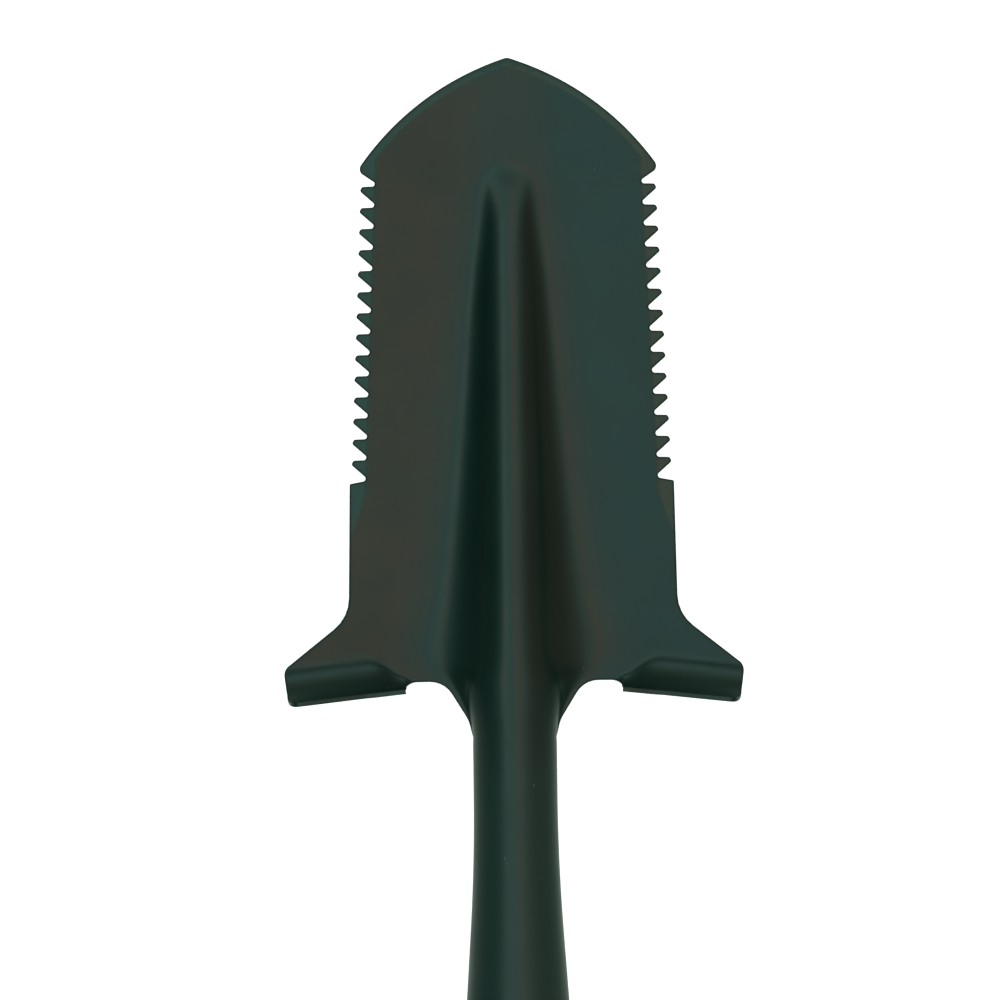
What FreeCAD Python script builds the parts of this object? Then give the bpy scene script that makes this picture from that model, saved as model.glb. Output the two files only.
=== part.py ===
"""Detecting shovel: pressed steel head with saw edges, ash shaft, steel D handle.

Units are millimetres. The shovel lies on its back: +Z points out of the blade's
front, +Y points to the blade's tip and +X to the right of the blade. The origin
is on the surface under the middle of the shovel's length. Most places along the
shovel are given as a station, the distance from the tip towards the handle.
"""
import FreeCAD, Part
import math
import os

from FreeCAD import Vector

# ---- overall ----
OVERALL_LENGTH = 782.0
SHEET = 1.8                 # thickness of the pressed steel
AXIS_Z = 20.8               # height of the shaft's axis and of the blade's front face

# ---- blade outline (half widths and stations) ----
ARCH_RADIUS = 100.0         # each side of the pointed arch
ARCH_CENTRE_X = 30.1        # the arc's centre lies beyond the middle line
ARCH_CENTRE_S = 95.21
TIP_ROUND = 3.0
SHOULDER_X = 51.7
SHOULDER_LOW_S = 39.3
SHOULDER_ROUND = 2.0
TOOTH_COUNT = 14
TOOTH_PITCH = 7.36
FIRST_TOOTH_S = 46.2
FIRST_TOOTH_X = 51.7
FIRST_VALLEY_X = 46.4
SAW_TAPER = 0.0435          # the saw edges open out towards the treads
VALLEY_AHEAD = 2.7          # a valley lies this far before its tooth's tip
TOOTH_ROUND = 0.5
SIDE_TOP_X = 56.6           # half width where the plain side begins
SIDE_LOW_X = 57.5           # half width where the side turns out to the tread
SIDE_TURN_S = 195.3
TREAD_EDGE_S = 213.4
TREAD_HALF_WIDTH = 80.6
TREAD_END_ROUND = 4.0
NECK_S = 238.0              # the sheet has closed into the round neck here

# ---- ground edge ----
BEVEL_WIDTH = 2.9
BEVEL_DEPTH = 1.3
SAW_BEVEL_WIDTH = 5.1
SAW_BEVEL_END_S = 151.0
SAW_BEVEL_FADE_S = 168.0
BEVEL_OVERRUN = 1.5         # cutters reach this far past the edge
ARCH_BEVEL_START = 16.0     # degrees round the arch, from a little past the middle line
ARCH_BEVEL_END = 56.0
ARCH_BEVEL_STEPS = 10

# ---- rib ----
RIB_START_S = 38.0
NOSE_LENGTH = 14.0
NOSE_HEIGHT = 3.0
NECK_RADIUS = 14.7
RIB_CROWN_START = 10.0      # crown radius at the nose
RIB_FOOT_START = 8.5        # foot fillet radius at the nose
RIB_FOOT_WIDE = 23.0        # foot fillet radius where it is widest
RIB_FOOT_WIDE_S = 211.0
RIB_FOOT_END = 4.0
FLAT_RIB = 0.05             # what is left of the rib's height ahead of its nose
DISH_RADIUS = 450.0         # the blade curves forward beside the rib

# ---- treads ----
BEND_RADIUS = 11.5          # inside of the forward turned step
BEND_LINE_S = 204.5         # the bend line's station, carried in to the middle line
BEND_SLOPE = math.tan(math.radians(6.05))
RUN_OUT_X = 31.0            # the bend starts here ...
FULL_BEND_X = 48.0          # ... and is a full right angle from here outwards
TREAD_START_X = 30.0
TREAD_STEPS = 36
TREAD_STEP = 1.5
TREAD_OVERLAP = 2.0
TREAD_PROUD = 0.05          # the bent step stands this little proud of the flat sheet's faces

# ---- socket ----
NECK_END_S = 258.0
FLARE_END_S = 307.0
FLARE_END_RADIUS = 16.4
MOUTH_S = 372.0
MOUTH_RADIUS = 20.8
OPEN_BACK_S = 264.0         # the back of the neck is open up to here
SEAM_END_S = 350.0
SEAM_GAP = 1.0
SEAM_WIDTH = 4.4
SEAM_RISE = 0.6

# ---- shaft ----
SHAFT_RADIUS = 19.0
SHAFT_NOSE_S = 266.0
SHAFT_TOP_S = 700.0
SHAFT_CHAMFER = 2.0

# ---- rivets ----
RIVET_RADIUS = 2.5
RIVET_HEAD_RADIUS = 5.0
RIVET_HEAD_HEIGHT = 2.2
WASHER_RADIUS = 6.5
WASHER_THICK = 1.0
SOCKET_RIVETS_S = (343.0, 361.0)
YOKE_RIVETS_S = (648.0, 668.0)

# ---- D handle ----
YOKE_SHEET = 1.6
FERRULE_START_S = 636.0
FERRULE_END_S = 692.0
FERRULE_SPLIT = 0.5
ARM_OUTER_X = 60.0
ARM_DEPTH = 8.0             # channel depth, web to lip
ARM_HALF_HEIGHT = 12.0
WEB_X = ARM_OUTER_X - YOKE_SHEET
LIP_X = ARM_OUTER_X - ARM_DEPTH
ARM_TURN_S = 742.0
ARM_BEND_RADIUS = 16.0
GRIP_AXIS_S = 765.0
EYE_RADIUS = 12.0
GRIP_RADIUS = 15.2
GRIP_COLLAR_RADIUS = 17.0
GRIP_COLLAR_LENGTH = 4.0
GRIP_GROOVES = 7
GRIP_GROOVE_DEPTH = 0.8
GRIP_GROOVE_WIDTH = 2.6
GRIP_GROOVE_PITCH = 11.0
GRIP_COLLAR_ROUND = 1.2
TUBE_RADIUS = 10.0
TUBE_WALL = 2.0
BOLT_RADIUS = 4.0
BOLT_HOLE_RADIUS = 4.2
BOLT_HEAD_RADIUS = 7.5
BOLT_HEAD_HEIGHT = 4.4
KEY_ACROSS_FLATS = 5.0
KEY_DEPTH = 2.5
GRIP_WASHER_RADIUS = 8.5
GRIP_WASHER_THICK = 1.2
NUT_ACROSS_FLATS = 13.0
NUT_HEX_HEIGHT = 5.0
NUT_DOME_RADIUS = 5.8
PLUG_LENGTH = 9.0

X_DIR = Vector(1, 0, 0)
Y_DIR = Vector(0, 1, 0)
Z_DIR = Vector(0, 0, 1)


def at(x, station, height=0.0):
    """Point at a station, with its height counted from the shaft's axis."""
    return Vector(x, OVERALL_LENGTH / 2 - station, AXIS_Z + height)


def line(a, b):
    return Part.LineSegment(a, b).toShape()


def arc(a, b, c):
    return Part.Arc(a, b, c).toShape()


def mirrored(shape):
    """The same shape on the other side of the middle plane."""
    return shape.mirror(Vector(0, 0, 0), X_DIR)


def joined(shapes):
    """One solid out of shapes that touch or overlap."""
    result = shapes[0].multiFuse(list(shapes[1:])).removeSplitter()
    return result.Solids[0] if len(result.Solids) == 1 else result


def rounded_wire(corners):
    """Closed wire through (x, station, radius) corners, in the plane of the axis."""
    count = len(corners)
    joints = []
    for i in range(count):
        x, s, radius = corners[i]
        point = at(x, s)
        before = at(*corners[i - 1][:2])
        after = at(*corners[(i + 1) % count][:2])
        back = (before - point).normalize()
        ahead = (after - point).normalize()
        half = back.getAngle(ahead) / 2
        if radius == 0 or half > math.radians(89.5):
            joints.append((point, None, point))
            continue
        run = radius / math.tan(half)
        middle = point + (back + ahead).normalize() * (radius / math.sin(half) - radius)
        joints.append((point + back * run, middle, point + ahead * run))
    edges = []
    for i in range(count):
        start, middle, end = joints[i]
        if middle is not None:
            edges.append(arc(start, middle, end))
        following = joints[(i + 1) % count][0]
        if end.distanceToPoint(following) > 1e-6:
            edges.append(line(end, following))
    return Part.Wire(edges)


def prism(wire, low, high):
    """Upright prism on a wire in the plane of the axis, between two heights."""
    face = Part.Face(wire)
    face.translate(Z_DIR * low)
    return face.extrude(Z_DIR * (high - low))


def box(x0, x1, s0, s1, z0, z1):
    """Box between two half widths, stations and heights from the axis."""
    return Part.makeBox(x1 - x0, s1 - s0, z1 - z0, at(x0, s1, z0))


def turned(profile):
    """Solid turned about the shaft's axis from (radius, station) points and arcs."""
    edges = []
    place = profile[0]
    for step in profile[1:]:
        if len(step) == 4:
            edges.append(arc(at(*place), at(*step[:2]), at(*step[2:])))
            place = step[2:]
        else:
            edges.append(line(at(*place), at(*step)))
            place = step
    edges.append(line(at(*place), at(*profile[0])))
    return Part.Face(Part.Wire(edges)).revolve(at(0, 0), Y_DIR, 360)


# ---------------------------------------------------------------- blade outline
def saw_half_width(first, station):
    return first + SAW_TAPER * (station - FIRST_TOOTH_S)


def tooth_corners():
    """Corners of the saw edge: each valley, then the two corners of its tooth."""
    corners = []
    for i in range(TOOTH_COUNT + 1):
        tip_s = FIRST_TOOTH_S + i * TOOTH_PITCH
        valley_s = tip_s - VALLEY_AHEAD
        valley_x = saw_half_width(FIRST_VALLEY_X, valley_s)
        tip_x = saw_half_width(FIRST_TOOTH_X, tip_s)
        corners.append((valley_x, valley_s, 0.5))
        corners.append((valley_x + 0.7, valley_s + 1.15, 0.5))
        if i < TOOTH_COUNT:
            corners.append((tip_x - 0.75, tip_s - 1.45, TOOTH_ROUND))
            corners.append((tip_x + 0.15, tip_s, TOOTH_ROUND))
    return corners


def outline_corners():
    """Right half of the head's outline from the front edge round to the neck."""
    ledge_s = FIRST_TOOTH_S + TOOTH_COUNT * TOOTH_PITCH
    corners = [(SHOULDER_X, -5.0, 0), (SHOULDER_X, SHOULDER_LOW_S, 1.2)]
    corners += tooth_corners()
    corners.append((SIDE_TOP_X, ledge_s - 0.6, 0.6))
    corners.append((SIDE_LOW_X, SIDE_TURN_S, 14.0))
    corners.append((TREAD_HALF_WIDTH, TREAD_EDGE_S, TREAD_END_ROUND))
    corners.append((TREAD_HALF_WIDTH - 1.3, 226.4, 3.0))
    corners.append((37.7, 222.0, 0.6))
    corners.append((37.4, 218.0, 3.6))
    corners.append((29.2, 218.0, 5.0))
    corners.append((18.6, 230.8, 9.0))
    corners.append((NECK_RADIUS, NECK_S, 0))
    return corners


def outline_prism():
    """Tall prism whose plan is the head seen from the front."""
    right = outline_corners()
    left = [(-x, s, r) for x, s, r in reversed(right)]
    body = prism(rounded_wire(right + left), -30.0, 40.0)
    for side in (-1, 1):
        centre = at(-side * ARCH_CENTRE_X, ARCH_CENTRE_S, -30.0)
        disc = Part.makeCylinder(ARCH_RADIUS, 70.0, centre, Z_DIR)
        beyond = box(-90, 90, ARCH_CENTRE_S - 25.0, 260.0, -30.0, 40.0)
        body = body.common(disc.fuse(beyond))
    body = body.makeFillet(TIP_ROUND, upright_edges(body, 0.0, 0.0))
    return body.makeFillet(SHOULDER_ROUND, upright_edges(body, SHOULDER_X, 38.0))


def upright_edges(body, half_width, station):
    """Upright edges of a prism near a half width and station, on both sides."""
    found = []
    for edge in body.Edges:
        a, b = edge.Vertexes[0].Point, edge.Vertexes[-1].Point
        upright = abs(a.x - b.x) < 1e-4 and abs(a.y - b.y) < 1e-4
        place = OVERALL_LENGTH / 2 - a.y
        if upright and abs(abs(a.x) - half_width) < 0.8 and abs(place - station) < 1.0:
            found.append(edge)
    return found


# ---------------------------------------------------------------- ribbed sheet
def rib_height(station):
    """Height of the rib's crown above the blade's face."""
    t = max(0.0, station - RIB_START_S) / (NECK_S - RIB_START_S)
    rise = 0.8 * t + 1.1 * t ** 2 - 0.9 * t ** 3
    along_nose = min(1.0, max(0.0, station - RIB_START_S) / NOSE_LENGTH)
    nose = (1 - math.cos(math.pi * along_nose)) / 2
    return max(FLAT_RIB, NOSE_HEIGHT * nose + (NECK_RADIUS - NOSE_HEIGHT) * rise)


def crown_radius(station):
    t = max(0.0, station - RIB_START_S) / (NECK_S - RIB_START_S)
    return RIB_CROWN_START + (NECK_RADIUS - RIB_CROWN_START) * t


def foot_radius(station):
    """Fillet between the rib and the blade; it closes up towards the neck."""
    t = max(0.0, station - RIB_START_S) / (RIB_FOOT_WIDE_S - RIB_START_S)
    wide = RIB_FOOT_START + (RIB_FOOT_WIDE - RIB_FOOT_START) * min(1.0, t) ** 1.7
    closing = max(0.0, station - RIB_FOOT_WIDE_S) / (NECK_S - RIB_FOOT_WIDE_S)
    return wide + (RIB_FOOT_END - wide) * closing


def foot_half_width(station):
    """Half width of the rib where its foot fillets run into the blade."""
    height = rib_height(station)
    reach = crown_radius(station) + foot_radius(station)
    return math.sqrt(height * (2 * reach - height))


def dish(x, station):
    """How far the blade has curved forward beside the rib."""
    return max(0.0, abs(x) - foot_half_width(station)) ** 2 / (2 * DISH_RADIUS)


def sheet_section(station, half_width):
    """Cross section of the blade sheet: dished wings, foot fillets and crown arc."""
    height = rib_height(station)
    crown = crown_radius(station)
    foot = foot_radius(station)
    foot_x = foot_half_width(station)
    lean = math.asin(foot_x / (crown + foot))
    wing_x = (foot_x + half_width) / 2

    def half_skin(crown_r, foot_r, level):
        """Half widths and heights of one skin, from the middle to the right."""
        tangent = (crown_r * math.sin(lean), height - crown + crown_r * math.cos(lean))
        middle = (foot_x - foot_r * math.sin(lean / 2), foot - foot_r * math.cos(lean / 2))
        return [tangent, middle, (foot_x, level),
                (wing_x, level + dish(wing_x, station)),
                (half_width, level + dish(half_width, station))]

    edges = []
    ends = []
    for crown_r, foot_r, level in ((crown, foot, 0.0), (crown - SHEET, foot + SHEET, -SHEET)):
        right = half_skin(crown_r, foot_r, level)
        left = [(-x, z) for x, z in reversed(right)]
        top = at(0.0, station, height - crown + crown_r)
        near = [at(x, station, z) for x, z in left]
        far = [at(x, station, z) for x, z in right]
        edges += [arc(*near[0:3]), arc(*near[2:5]), arc(near[4], top, far[0])]
        edges += [arc(*far[0:3]), arc(*far[2:5])]
        ends.append((near[0], far[4]))
    edges.append(line(ends[0][0], ends[1][0]))
    edges.append(line(ends[0][1], ends[1][1]))
    return Part.Wire(Part.__sortEdges__(edges))


def ribbed_sheet():
    """Dished blade with the hollow rib pressed into it, before it is trimmed."""
    stations = [RIB_START_S, 41.0, 44.0, 48.0, 52.0, 62.0, 80.0, 105.0, 135.0, 165.0]
    stations += [190.0, 203.0, RIB_FOOT_WIDE_S, 217.0, 224.0, 231.0, NECK_S]
    ribbed = Part.makeLoft([sheet_section(s, 90.0) for s in stations], True, False)
    front = Part.makeLoft([sheet_section(s, 90.0) for s in (-8.0, RIB_START_S)], True, True)
    return joined([front, ribbed])


# ---------------------------------------------------------------- treads
def tread_angle(x):
    """Bend angle of the step, which dies out towards the rib."""
    t = (x - RUN_OUT_X) / (FULL_BEND_X - RUN_OUT_X)
    t = min(1.0, max(0.0, t))
    return max(math.radians(1.0), math.radians(90.0) * t * t * (3 - 2 * t))


def tread_section(x):
    """Section of the forward turned step in a plane across the blade."""
    bend_s = BEND_LINE_S + BEND_SLOPE * x
    front = dish(x, bend_s) + TREAD_PROUD
    back = front - SHEET - 2 * TREAD_PROUD
    angle = tread_angle(x)
    length = (BEND_RADIUS + SHEET / 2) * math.pi / 2
    inner = length / angle - SHEET / 2
    outer = inner + front - back

    def on_bend(radius, turn):
        return at(x, bend_s + radius * math.sin(turn), front + inner - radius * math.cos(turn))

    start_s = bend_s - TREAD_OVERLAP
    edges = [line(at(x, start_s, front), at(x, bend_s, front))]
    edges.append(arc(on_bend(inner, 0), on_bend(inner, angle / 2), on_bend(inner, angle)))
    edges.append(line(on_bend(inner, angle), on_bend(outer, angle)))
    edges.append(arc(on_bend(outer, angle), on_bend(outer, angle / 2), on_bend(outer, 0)))
    edges.append(line(at(x, bend_s, back), at(x, start_s, back)))
    edges.append(line(at(x, start_s, back), at(x, start_s, front)))
    return Part.Wire(edges)


def tread():
    stations = [TREAD_START_X + TREAD_STEP * i for i in range(TREAD_STEPS + 1)]
    return Part.makeLoft([tread_section(x) for x in stations], True, True)


def tread_clearance():
    """Space on the right of the flat sheet that the bent step takes over."""
    near, far = TREAD_START_X, TREAD_START_X + TREAD_STEP * TREAD_STEPS + 8.0
    corners = [(near, BEND_LINE_S + BEND_SLOPE * near - TREAD_OVERLAP, 0)]
    corners.append((far, BEND_LINE_S + BEND_SLOPE * far - TREAD_OVERLAP, 0))
    corners.append((far, 250.0, 0))
    corners.append((near, 250.0, 0))
    return prism(rounded_wire(corners), -5.0, 12.0)


# ---------------------------------------------------------------- ground edges
def bevel_wedge(x, station, dx, ds, width, depth):
    """Triangle that grinds the front edge, from its inner line outwards along (dx, ds)."""
    edge_x, edge_s = x + dx * width, station + ds * width
    over_x, over_s = edge_x + dx * BEVEL_OVERRUN, edge_s + ds * BEVEL_OVERRUN
    low = dish(edge_x, edge_s) - depth * (1 + BEVEL_OVERRUN / width)
    points = [at(x, station, dish(x, station)), at(over_x, over_s, dish(edge_x, edge_s) + 2.0),
              at(over_x, over_s, low)]
    return Part.makePolygon(points + [points[0]])


def arch_bevel():
    """Wedge that grinds the right side of the pointed arch."""
    wires = []
    for i in range(ARCH_BEVEL_STEPS + 1):
        turn = ARCH_BEVEL_START + (ARCH_BEVEL_END - ARCH_BEVEL_START) * i / ARCH_BEVEL_STEPS
        dx, ds = math.sin(math.radians(turn)), -math.cos(math.radians(turn))
        inner = ARCH_RADIUS - BEVEL_WIDTH
        wires.append(bevel_wedge(inner * dx - ARCH_CENTRE_X, ARCH_CENTRE_S + inner * ds,
                                 dx, ds, BEVEL_WIDTH, BEVEL_DEPTH))
    return Part.makeLoft(wires, True, True)


def saw_bevel():
    """Wedge that thins the teeth on the right, fading out below the last one."""
    wires = []
    for station in (36.0, 60.0, 90.0, 120.0, SAW_BEVEL_END_S):
        inner = saw_half_width(FIRST_TOOTH_X, station) - SAW_BEVEL_WIDTH
        wires.append(bevel_wedge(inner, station, 1.0, 0.0, SAW_BEVEL_WIDTH, BEVEL_DEPTH))
    wires.append(bevel_wedge(SIDE_TOP_X - 0.3, SAW_BEVEL_FADE_S, 1.0, 0.0, 0.5, 0.1))
    return Part.makeLoft(wires, True, True)


# ---------------------------------------------------------------- socket
def socket_profile(inset):
    """Outer skin of the socket as turned steps, moved in by a wall thickness."""
    reach = NECK_END_S - FLARE_END_S
    drop = FLARE_END_RADIUS - NECK_RADIUS
    swing = (reach ** 2 + drop ** 2) / (2 * drop)
    middle_s = (NECK_END_S + FLARE_END_S) / 2
    middle_r = NECK_RADIUS + swing - math.sqrt(swing ** 2 - (middle_s - NECK_END_S) ** 2)
    return [(NECK_RADIUS - inset, NECK_S), (NECK_RADIUS - inset, NECK_END_S),
            (middle_r - inset, middle_s, FLARE_END_RADIUS - inset, FLARE_END_S),
            (MOUTH_RADIUS - inset, MOUTH_S)]


def socket_solid(inset):
    """Solid body inside the socket's skin, from the neck to the mouth."""
    return turned([(0.0, NECK_S)] + socket_profile(inset) + [(0.0, MOUTH_S)])


def open_back():
    """Slanting cut that opens the back of the neck into the hollow rib."""
    low = -NECK_RADIUS - 2.0
    corners = [(NECK_S - 1.0, 0.0), (NECK_S + 1.0, 0.0), (OPEN_BACK_S - 6.0, low * 0.62),
               (OPEN_BACK_S, low), (NECK_S - 1.0, low)]
    points = [at(-30.0, s, z) for s, z in corners]
    return Part.Face(Part.makePolygon(points + [points[0]])).extrude(X_DIR * 60.0)


def seam_slot():
    return box(-SEAM_GAP / 2, SEAM_GAP / 2, OPEN_BACK_S - 12.0, MOUTH_S + 1.0,
               -MOUTH_RADIUS - 2.0, -NECK_RADIUS / 2)


def make_blade():
    """Pressed head in one sheet: blade, rib, treads, neck and socket."""
    sheet = ribbed_sheet()
    for clearance in (tread_clearance(), mirrored(tread_clearance())):
        sheet = sheet.cut(clearance)
    sheet = joined([sheet, tread(), mirrored(tread())])
    sheet = sheet.common(outline_prism())
    for cutter in (arch_bevel(), saw_bevel()):
        sheet = sheet.cut(cutter)
        sheet = sheet.cut(mirrored(cutter))
    socket = socket_solid(0.0).cut(socket_solid(SHEET))
    socket = socket.cut(open_back()).cut(seam_slot())
    return joined([sheet, socket])


def make_socket_seam_weld():
    """Bead that fills the butt seam along the back of the socket."""
    start = OPEN_BACK_S + 3.0
    filler = box(-SEAM_GAP / 2, SEAM_GAP / 2, start, SEAM_END_S, -MOUTH_RADIUS - 2.0, -NECK_RADIUS / 2)
    skin = socket_solid(0.0)
    filler = filler.common(skin).cut(socket_solid(SHEET))
    crown = turned([(0.0, NECK_S)] + socket_profile(-SEAM_RISE) + [(0.0, MOUTH_S)])
    cap = box(-SEAM_WIDTH / 2, SEAM_WIDTH / 2, start, SEAM_END_S, -MOUTH_RADIUS - 2.0, 0.0)
    cap = cap.common(crown).cut(skin)
    return joined([filler, cap])


# ---------------------------------------------------------------- shaft
def rivet_holes(stations):
    """Through holes across the shovel at each rivet."""
    return [Part.makeCylinder(RIVET_RADIUS, 80.0, at(-40.0, s), X_DIR) for s in stations]


def make_shaft():
    """Ash shaft, tapered to fill the socket and straight up to the handle."""
    taper = socket_solid(SHEET)
    nose = box(-30, 30, NECK_S - 1, SHAFT_NOSE_S, -30, 30)
    taper = taper.cut(nose)
    straight = turned([(0.0, MOUTH_S), (SHAFT_RADIUS, MOUTH_S),
                       (SHAFT_RADIUS, SHAFT_TOP_S - SHAFT_CHAMFER),
                       (SHAFT_RADIUS - SHAFT_CHAMFER, SHAFT_TOP_S), (0.0, SHAFT_TOP_S)])
    shaft = joined([taper, straight])
    for hole in rivet_holes(SOCKET_RIVETS_S + YOKE_RIVETS_S):
        shaft = shaft.cut(hole)
    return shaft


# ---------------------------------------------------------------- rivets
def dome(radius, height):
    """Domed head on the plane x = 0, rising along +X about the X axis."""
    ball = (radius ** 2 + height ** 2) / (2 * height)
    sphere = Part.makeSphere(ball, Vector(height - ball, 0, 0))
    keep = Part.makeBox(height + 1, 2 * radius + 2, 2 * radius + 2, Vector(0, -radius - 1, -radius - 1))
    return sphere.common(keep)


def through_rivet(station, seat, tail_seat):
    """Rivet along X with its set head on the right and a smaller tail on the left."""
    shank = Part.makeCylinder(RIVET_RADIUS, seat + tail_seat, at(-tail_seat, station), X_DIR)
    head = dome(RIVET_HEAD_RADIUS, RIVET_HEAD_HEIGHT)
    head.translate(at(seat, station))
    tail = mirrored(dome(RIVET_HEAD_RADIUS * 0.85, RIVET_HEAD_HEIGHT * 0.8))
    tail.translate(at(-tail_seat, station))
    return joined([shank, head, tail])


def washer(station, seat, bore):
    """Washer on the left, standing out from the seat."""
    disc = Part.makeCylinder(WASHER_RADIUS, WASHER_THICK, at(-seat, station), -X_DIR)
    return disc.cut(Part.makeCylinder(bore, 80.0, at(-60.0, station), X_DIR))


def socket_radius(station):
    """Outer radius of the straight cone near the mouth."""
    t = (station - FLARE_END_S) / (MOUTH_S - FLARE_END_S)
    return FLARE_END_RADIUS + (MOUTH_RADIUS - FLARE_END_RADIUS) * t


def seat_flat(skin_radius):
    """How far out a flat seat is spot faced so that a washer sits square on it."""
    return skin_radius - 0.45


def seats(stations, radius_at, spot):
    """Spot facing cutters on both sides of a round skin."""
    cutters = []
    for s in stations:
        reach = seat_flat(radius_at(s))
        cutters.append(Part.makeCylinder(spot, 6.0, at(reach, s), X_DIR))
        cutters.append(Part.makeCylinder(spot, 6.0, at(-reach, s), -X_DIR))
    return cutters


def ferrule_radius(_station):
    return SHAFT_RADIUS + YOKE_SHEET


def make_rivets(stations, radius_at):
    rivets = []
    for s in stations:
        reach = seat_flat(radius_at(s))
        rivets.append(through_rivet(s, reach, reach + WASHER_THICK))
    return Part.makeCompound(rivets)


def make_washers(stations, radius_at):
    washers = [washer(s, seat_flat(radius_at(s)), RIVET_RADIUS) for s in stations]
    return Part.makeCompound(washers)


# ---------------------------------------------------------------- D handle
def arm_corners(end_s):
    """Plan of the right arm: along its web, round the end and back along its lips."""
    root = SHAFT_RADIUS + YOKE_SHEET
    return [(root, FERRULE_END_S - 15.0, 0),
            (root, FERRULE_END_S - 2.0, 10.0),
            (ARM_OUTER_X, ARM_TURN_S, ARM_BEND_RADIUS),
            (ARM_OUTER_X, end_s, 0),
            (LIP_X, end_s, 0),
            (LIP_X, ARM_TURN_S + 4.6, ARM_BEND_RADIUS - ARM_DEPTH),
            (SHAFT_RADIUS, FERRULE_END_S + 6.5, 0),
            (SHAFT_RADIUS, FERRULE_END_S - 15.0, 0)]


def hollow_corners(end_s):
    """Plan of the channel inside the right arm, open past its lips."""
    return [(SHAFT_RADIUS + 3.9, FERRULE_END_S + 3.7, 0),
            (WEB_X, ARM_TURN_S + 0.6, ARM_BEND_RADIUS - YOKE_SHEET),
            (WEB_X, end_s, 0),
            (LIP_X - 8.0, end_s, 0),
            (LIP_X - 8.0, ARM_TURN_S + 10.0, 0),
            (SHAFT_RADIUS - 7.0, FERRULE_END_S + 14.0, 0)]


def eye_column(radius, x0, x1):
    """Column across the handle about the grip's axis, open towards the ferrule."""
    round_end = Part.makeCylinder(radius, x1 - x0, at(x0, GRIP_AXIS_S), X_DIR)
    shank = box(x0, x1, FERRULE_END_S - 40.0, GRIP_AXIS_S, -radius, radius)
    return round_end.fuse(shank)


def make_yoke_half():
    """Right half of the yoke: half a ferrule that runs out into a channel arm."""
    end_s = GRIP_AXIS_S + EYE_RADIUS + 2.0
    arm = prism(rounded_wire(arm_corners(end_s)), -ARM_HALF_HEIGHT, ARM_HALF_HEIGHT)
    arm = arm.common(eye_column(EYE_RADIUS, 0.0, 80.0))
    inside = ARM_HALF_HEIGHT - YOKE_SHEET
    hollow = prism(rounded_wire(hollow_corners(end_s)), -inside, inside)
    hollow = hollow.common(eye_column(EYE_RADIUS - YOKE_SHEET, 0.0, 80.0))
    ferrule = turned([(SHAFT_RADIUS, FERRULE_START_S), (SHAFT_RADIUS + YOKE_SHEET, FERRULE_START_S),
                      (SHAFT_RADIUS + YOKE_SHEET, FERRULE_END_S), (SHAFT_RADIUS, FERRULE_END_S)])
    ferrule = ferrule.common(box(FERRULE_SPLIT / 2, 40.0, FERRULE_START_S, FERRULE_END_S, -30, 30))
    bore = Part.makeCylinder(SHAFT_RADIUS, 120.0, at(0, SHAFT_TOP_S + 20.0), Y_DIR)
    half = joined([arm.cut(hollow), ferrule]).cut(bore)
    half = half.cut(Part.makeCylinder(BOLT_HOLE_RADIUS, 80.0, at(30.0, GRIP_AXIS_S), X_DIR))
    for cutter in seats(YOKE_RIVETS_S, ferrule_radius, WASHER_RADIUS + 0.5):
        half = half.cut(cutter)
    for hole in rivet_holes(YOKE_RIVETS_S):
        half = half.cut(hole)
    return half


def across(radius, x0, x1):
    """Cylinder about the grip's axis."""
    return Part.makeCylinder(radius, x1 - x0, at(x0, GRIP_AXIS_S), X_DIR)


def make_grip_tube():
    """Steel tube that keeps the two arms apart inside the grip."""
    return across(TUBE_RADIUS, -WEB_X, WEB_X).cut(across(TUBE_RADIUS - TUBE_WALL, -WEB_X - 1, WEB_X + 1))


def make_grip_tube_plugs():
    """Plugs that centre the bolt in the ends of the tube."""
    plugs = []
    for start in (-WEB_X, WEB_X - PLUG_LENGTH):
        plug = across(TUBE_RADIUS - TUBE_WALL, start, start + PLUG_LENGTH)
        plugs.append(plug.cut(across(BOLT_RADIUS, start - 1, start + PLUG_LENGTH + 1)))
    return Part.makeCompound(plugs)


def make_hand_grip():
    """Moulded rubber grip with collars at its ends and grooves round it."""
    body = across(GRIP_RADIUS, -LIP_X, LIP_X)
    for start in (-LIP_X, LIP_X - GRIP_COLLAR_LENGTH):
        collar = across(GRIP_COLLAR_RADIUS, start, start + GRIP_COLLAR_LENGTH)
        body = body.fuse(collar.makeFillet(GRIP_COLLAR_ROUND, [collar.Edges[0], collar.Edges[2]]))
    for i in range(GRIP_GROOVES):
        middle = (i - (GRIP_GROOVES - 1) / 2) * GRIP_GROOVE_PITCH
        ring = Part.makeTorus(GRIP_RADIUS + GRIP_GROOVE_WIDTH / 2 - GRIP_GROOVE_DEPTH,
                              GRIP_GROOVE_WIDTH / 2, at(middle, GRIP_AXIS_S), X_DIR)
        body = body.cut(ring)
    return body.cut(across(TUBE_RADIUS, -LIP_X - 1, LIP_X + 1)).removeSplitter().Solids[0]


def make_grip_bolt():
    """Round headed bolt through both arms and the tube."""
    seat = ARM_OUTER_X + GRIP_WASHER_THICK
    head = dome(BOLT_HEAD_RADIUS, BOLT_HEAD_HEIGHT)
    head.translate(at(seat, GRIP_AXIS_S))
    key = hexagon(KEY_ACROSS_FLATS, KEY_DEPTH)
    key.translate(at(seat + BOLT_HEAD_HEIGHT - KEY_DEPTH, GRIP_AXIS_S))
    shank = across(BOLT_RADIUS, -seat - NUT_HEX_HEIGHT - 2.0, seat)
    return joined([shank, head]).cut(key)


def hexagon(across_flats, height):
    """Hexagonal bar along +X from the plane x = 0."""
    corner = across_flats / math.sqrt(3)
    points = []
    for i in range(7):
        turn = math.radians(60 * i + 30)
        points.append(Vector(0, corner * math.cos(turn), corner * math.sin(turn)))
    return Part.Face(Part.makePolygon(points)).extrude(X_DIR * height)


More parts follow.
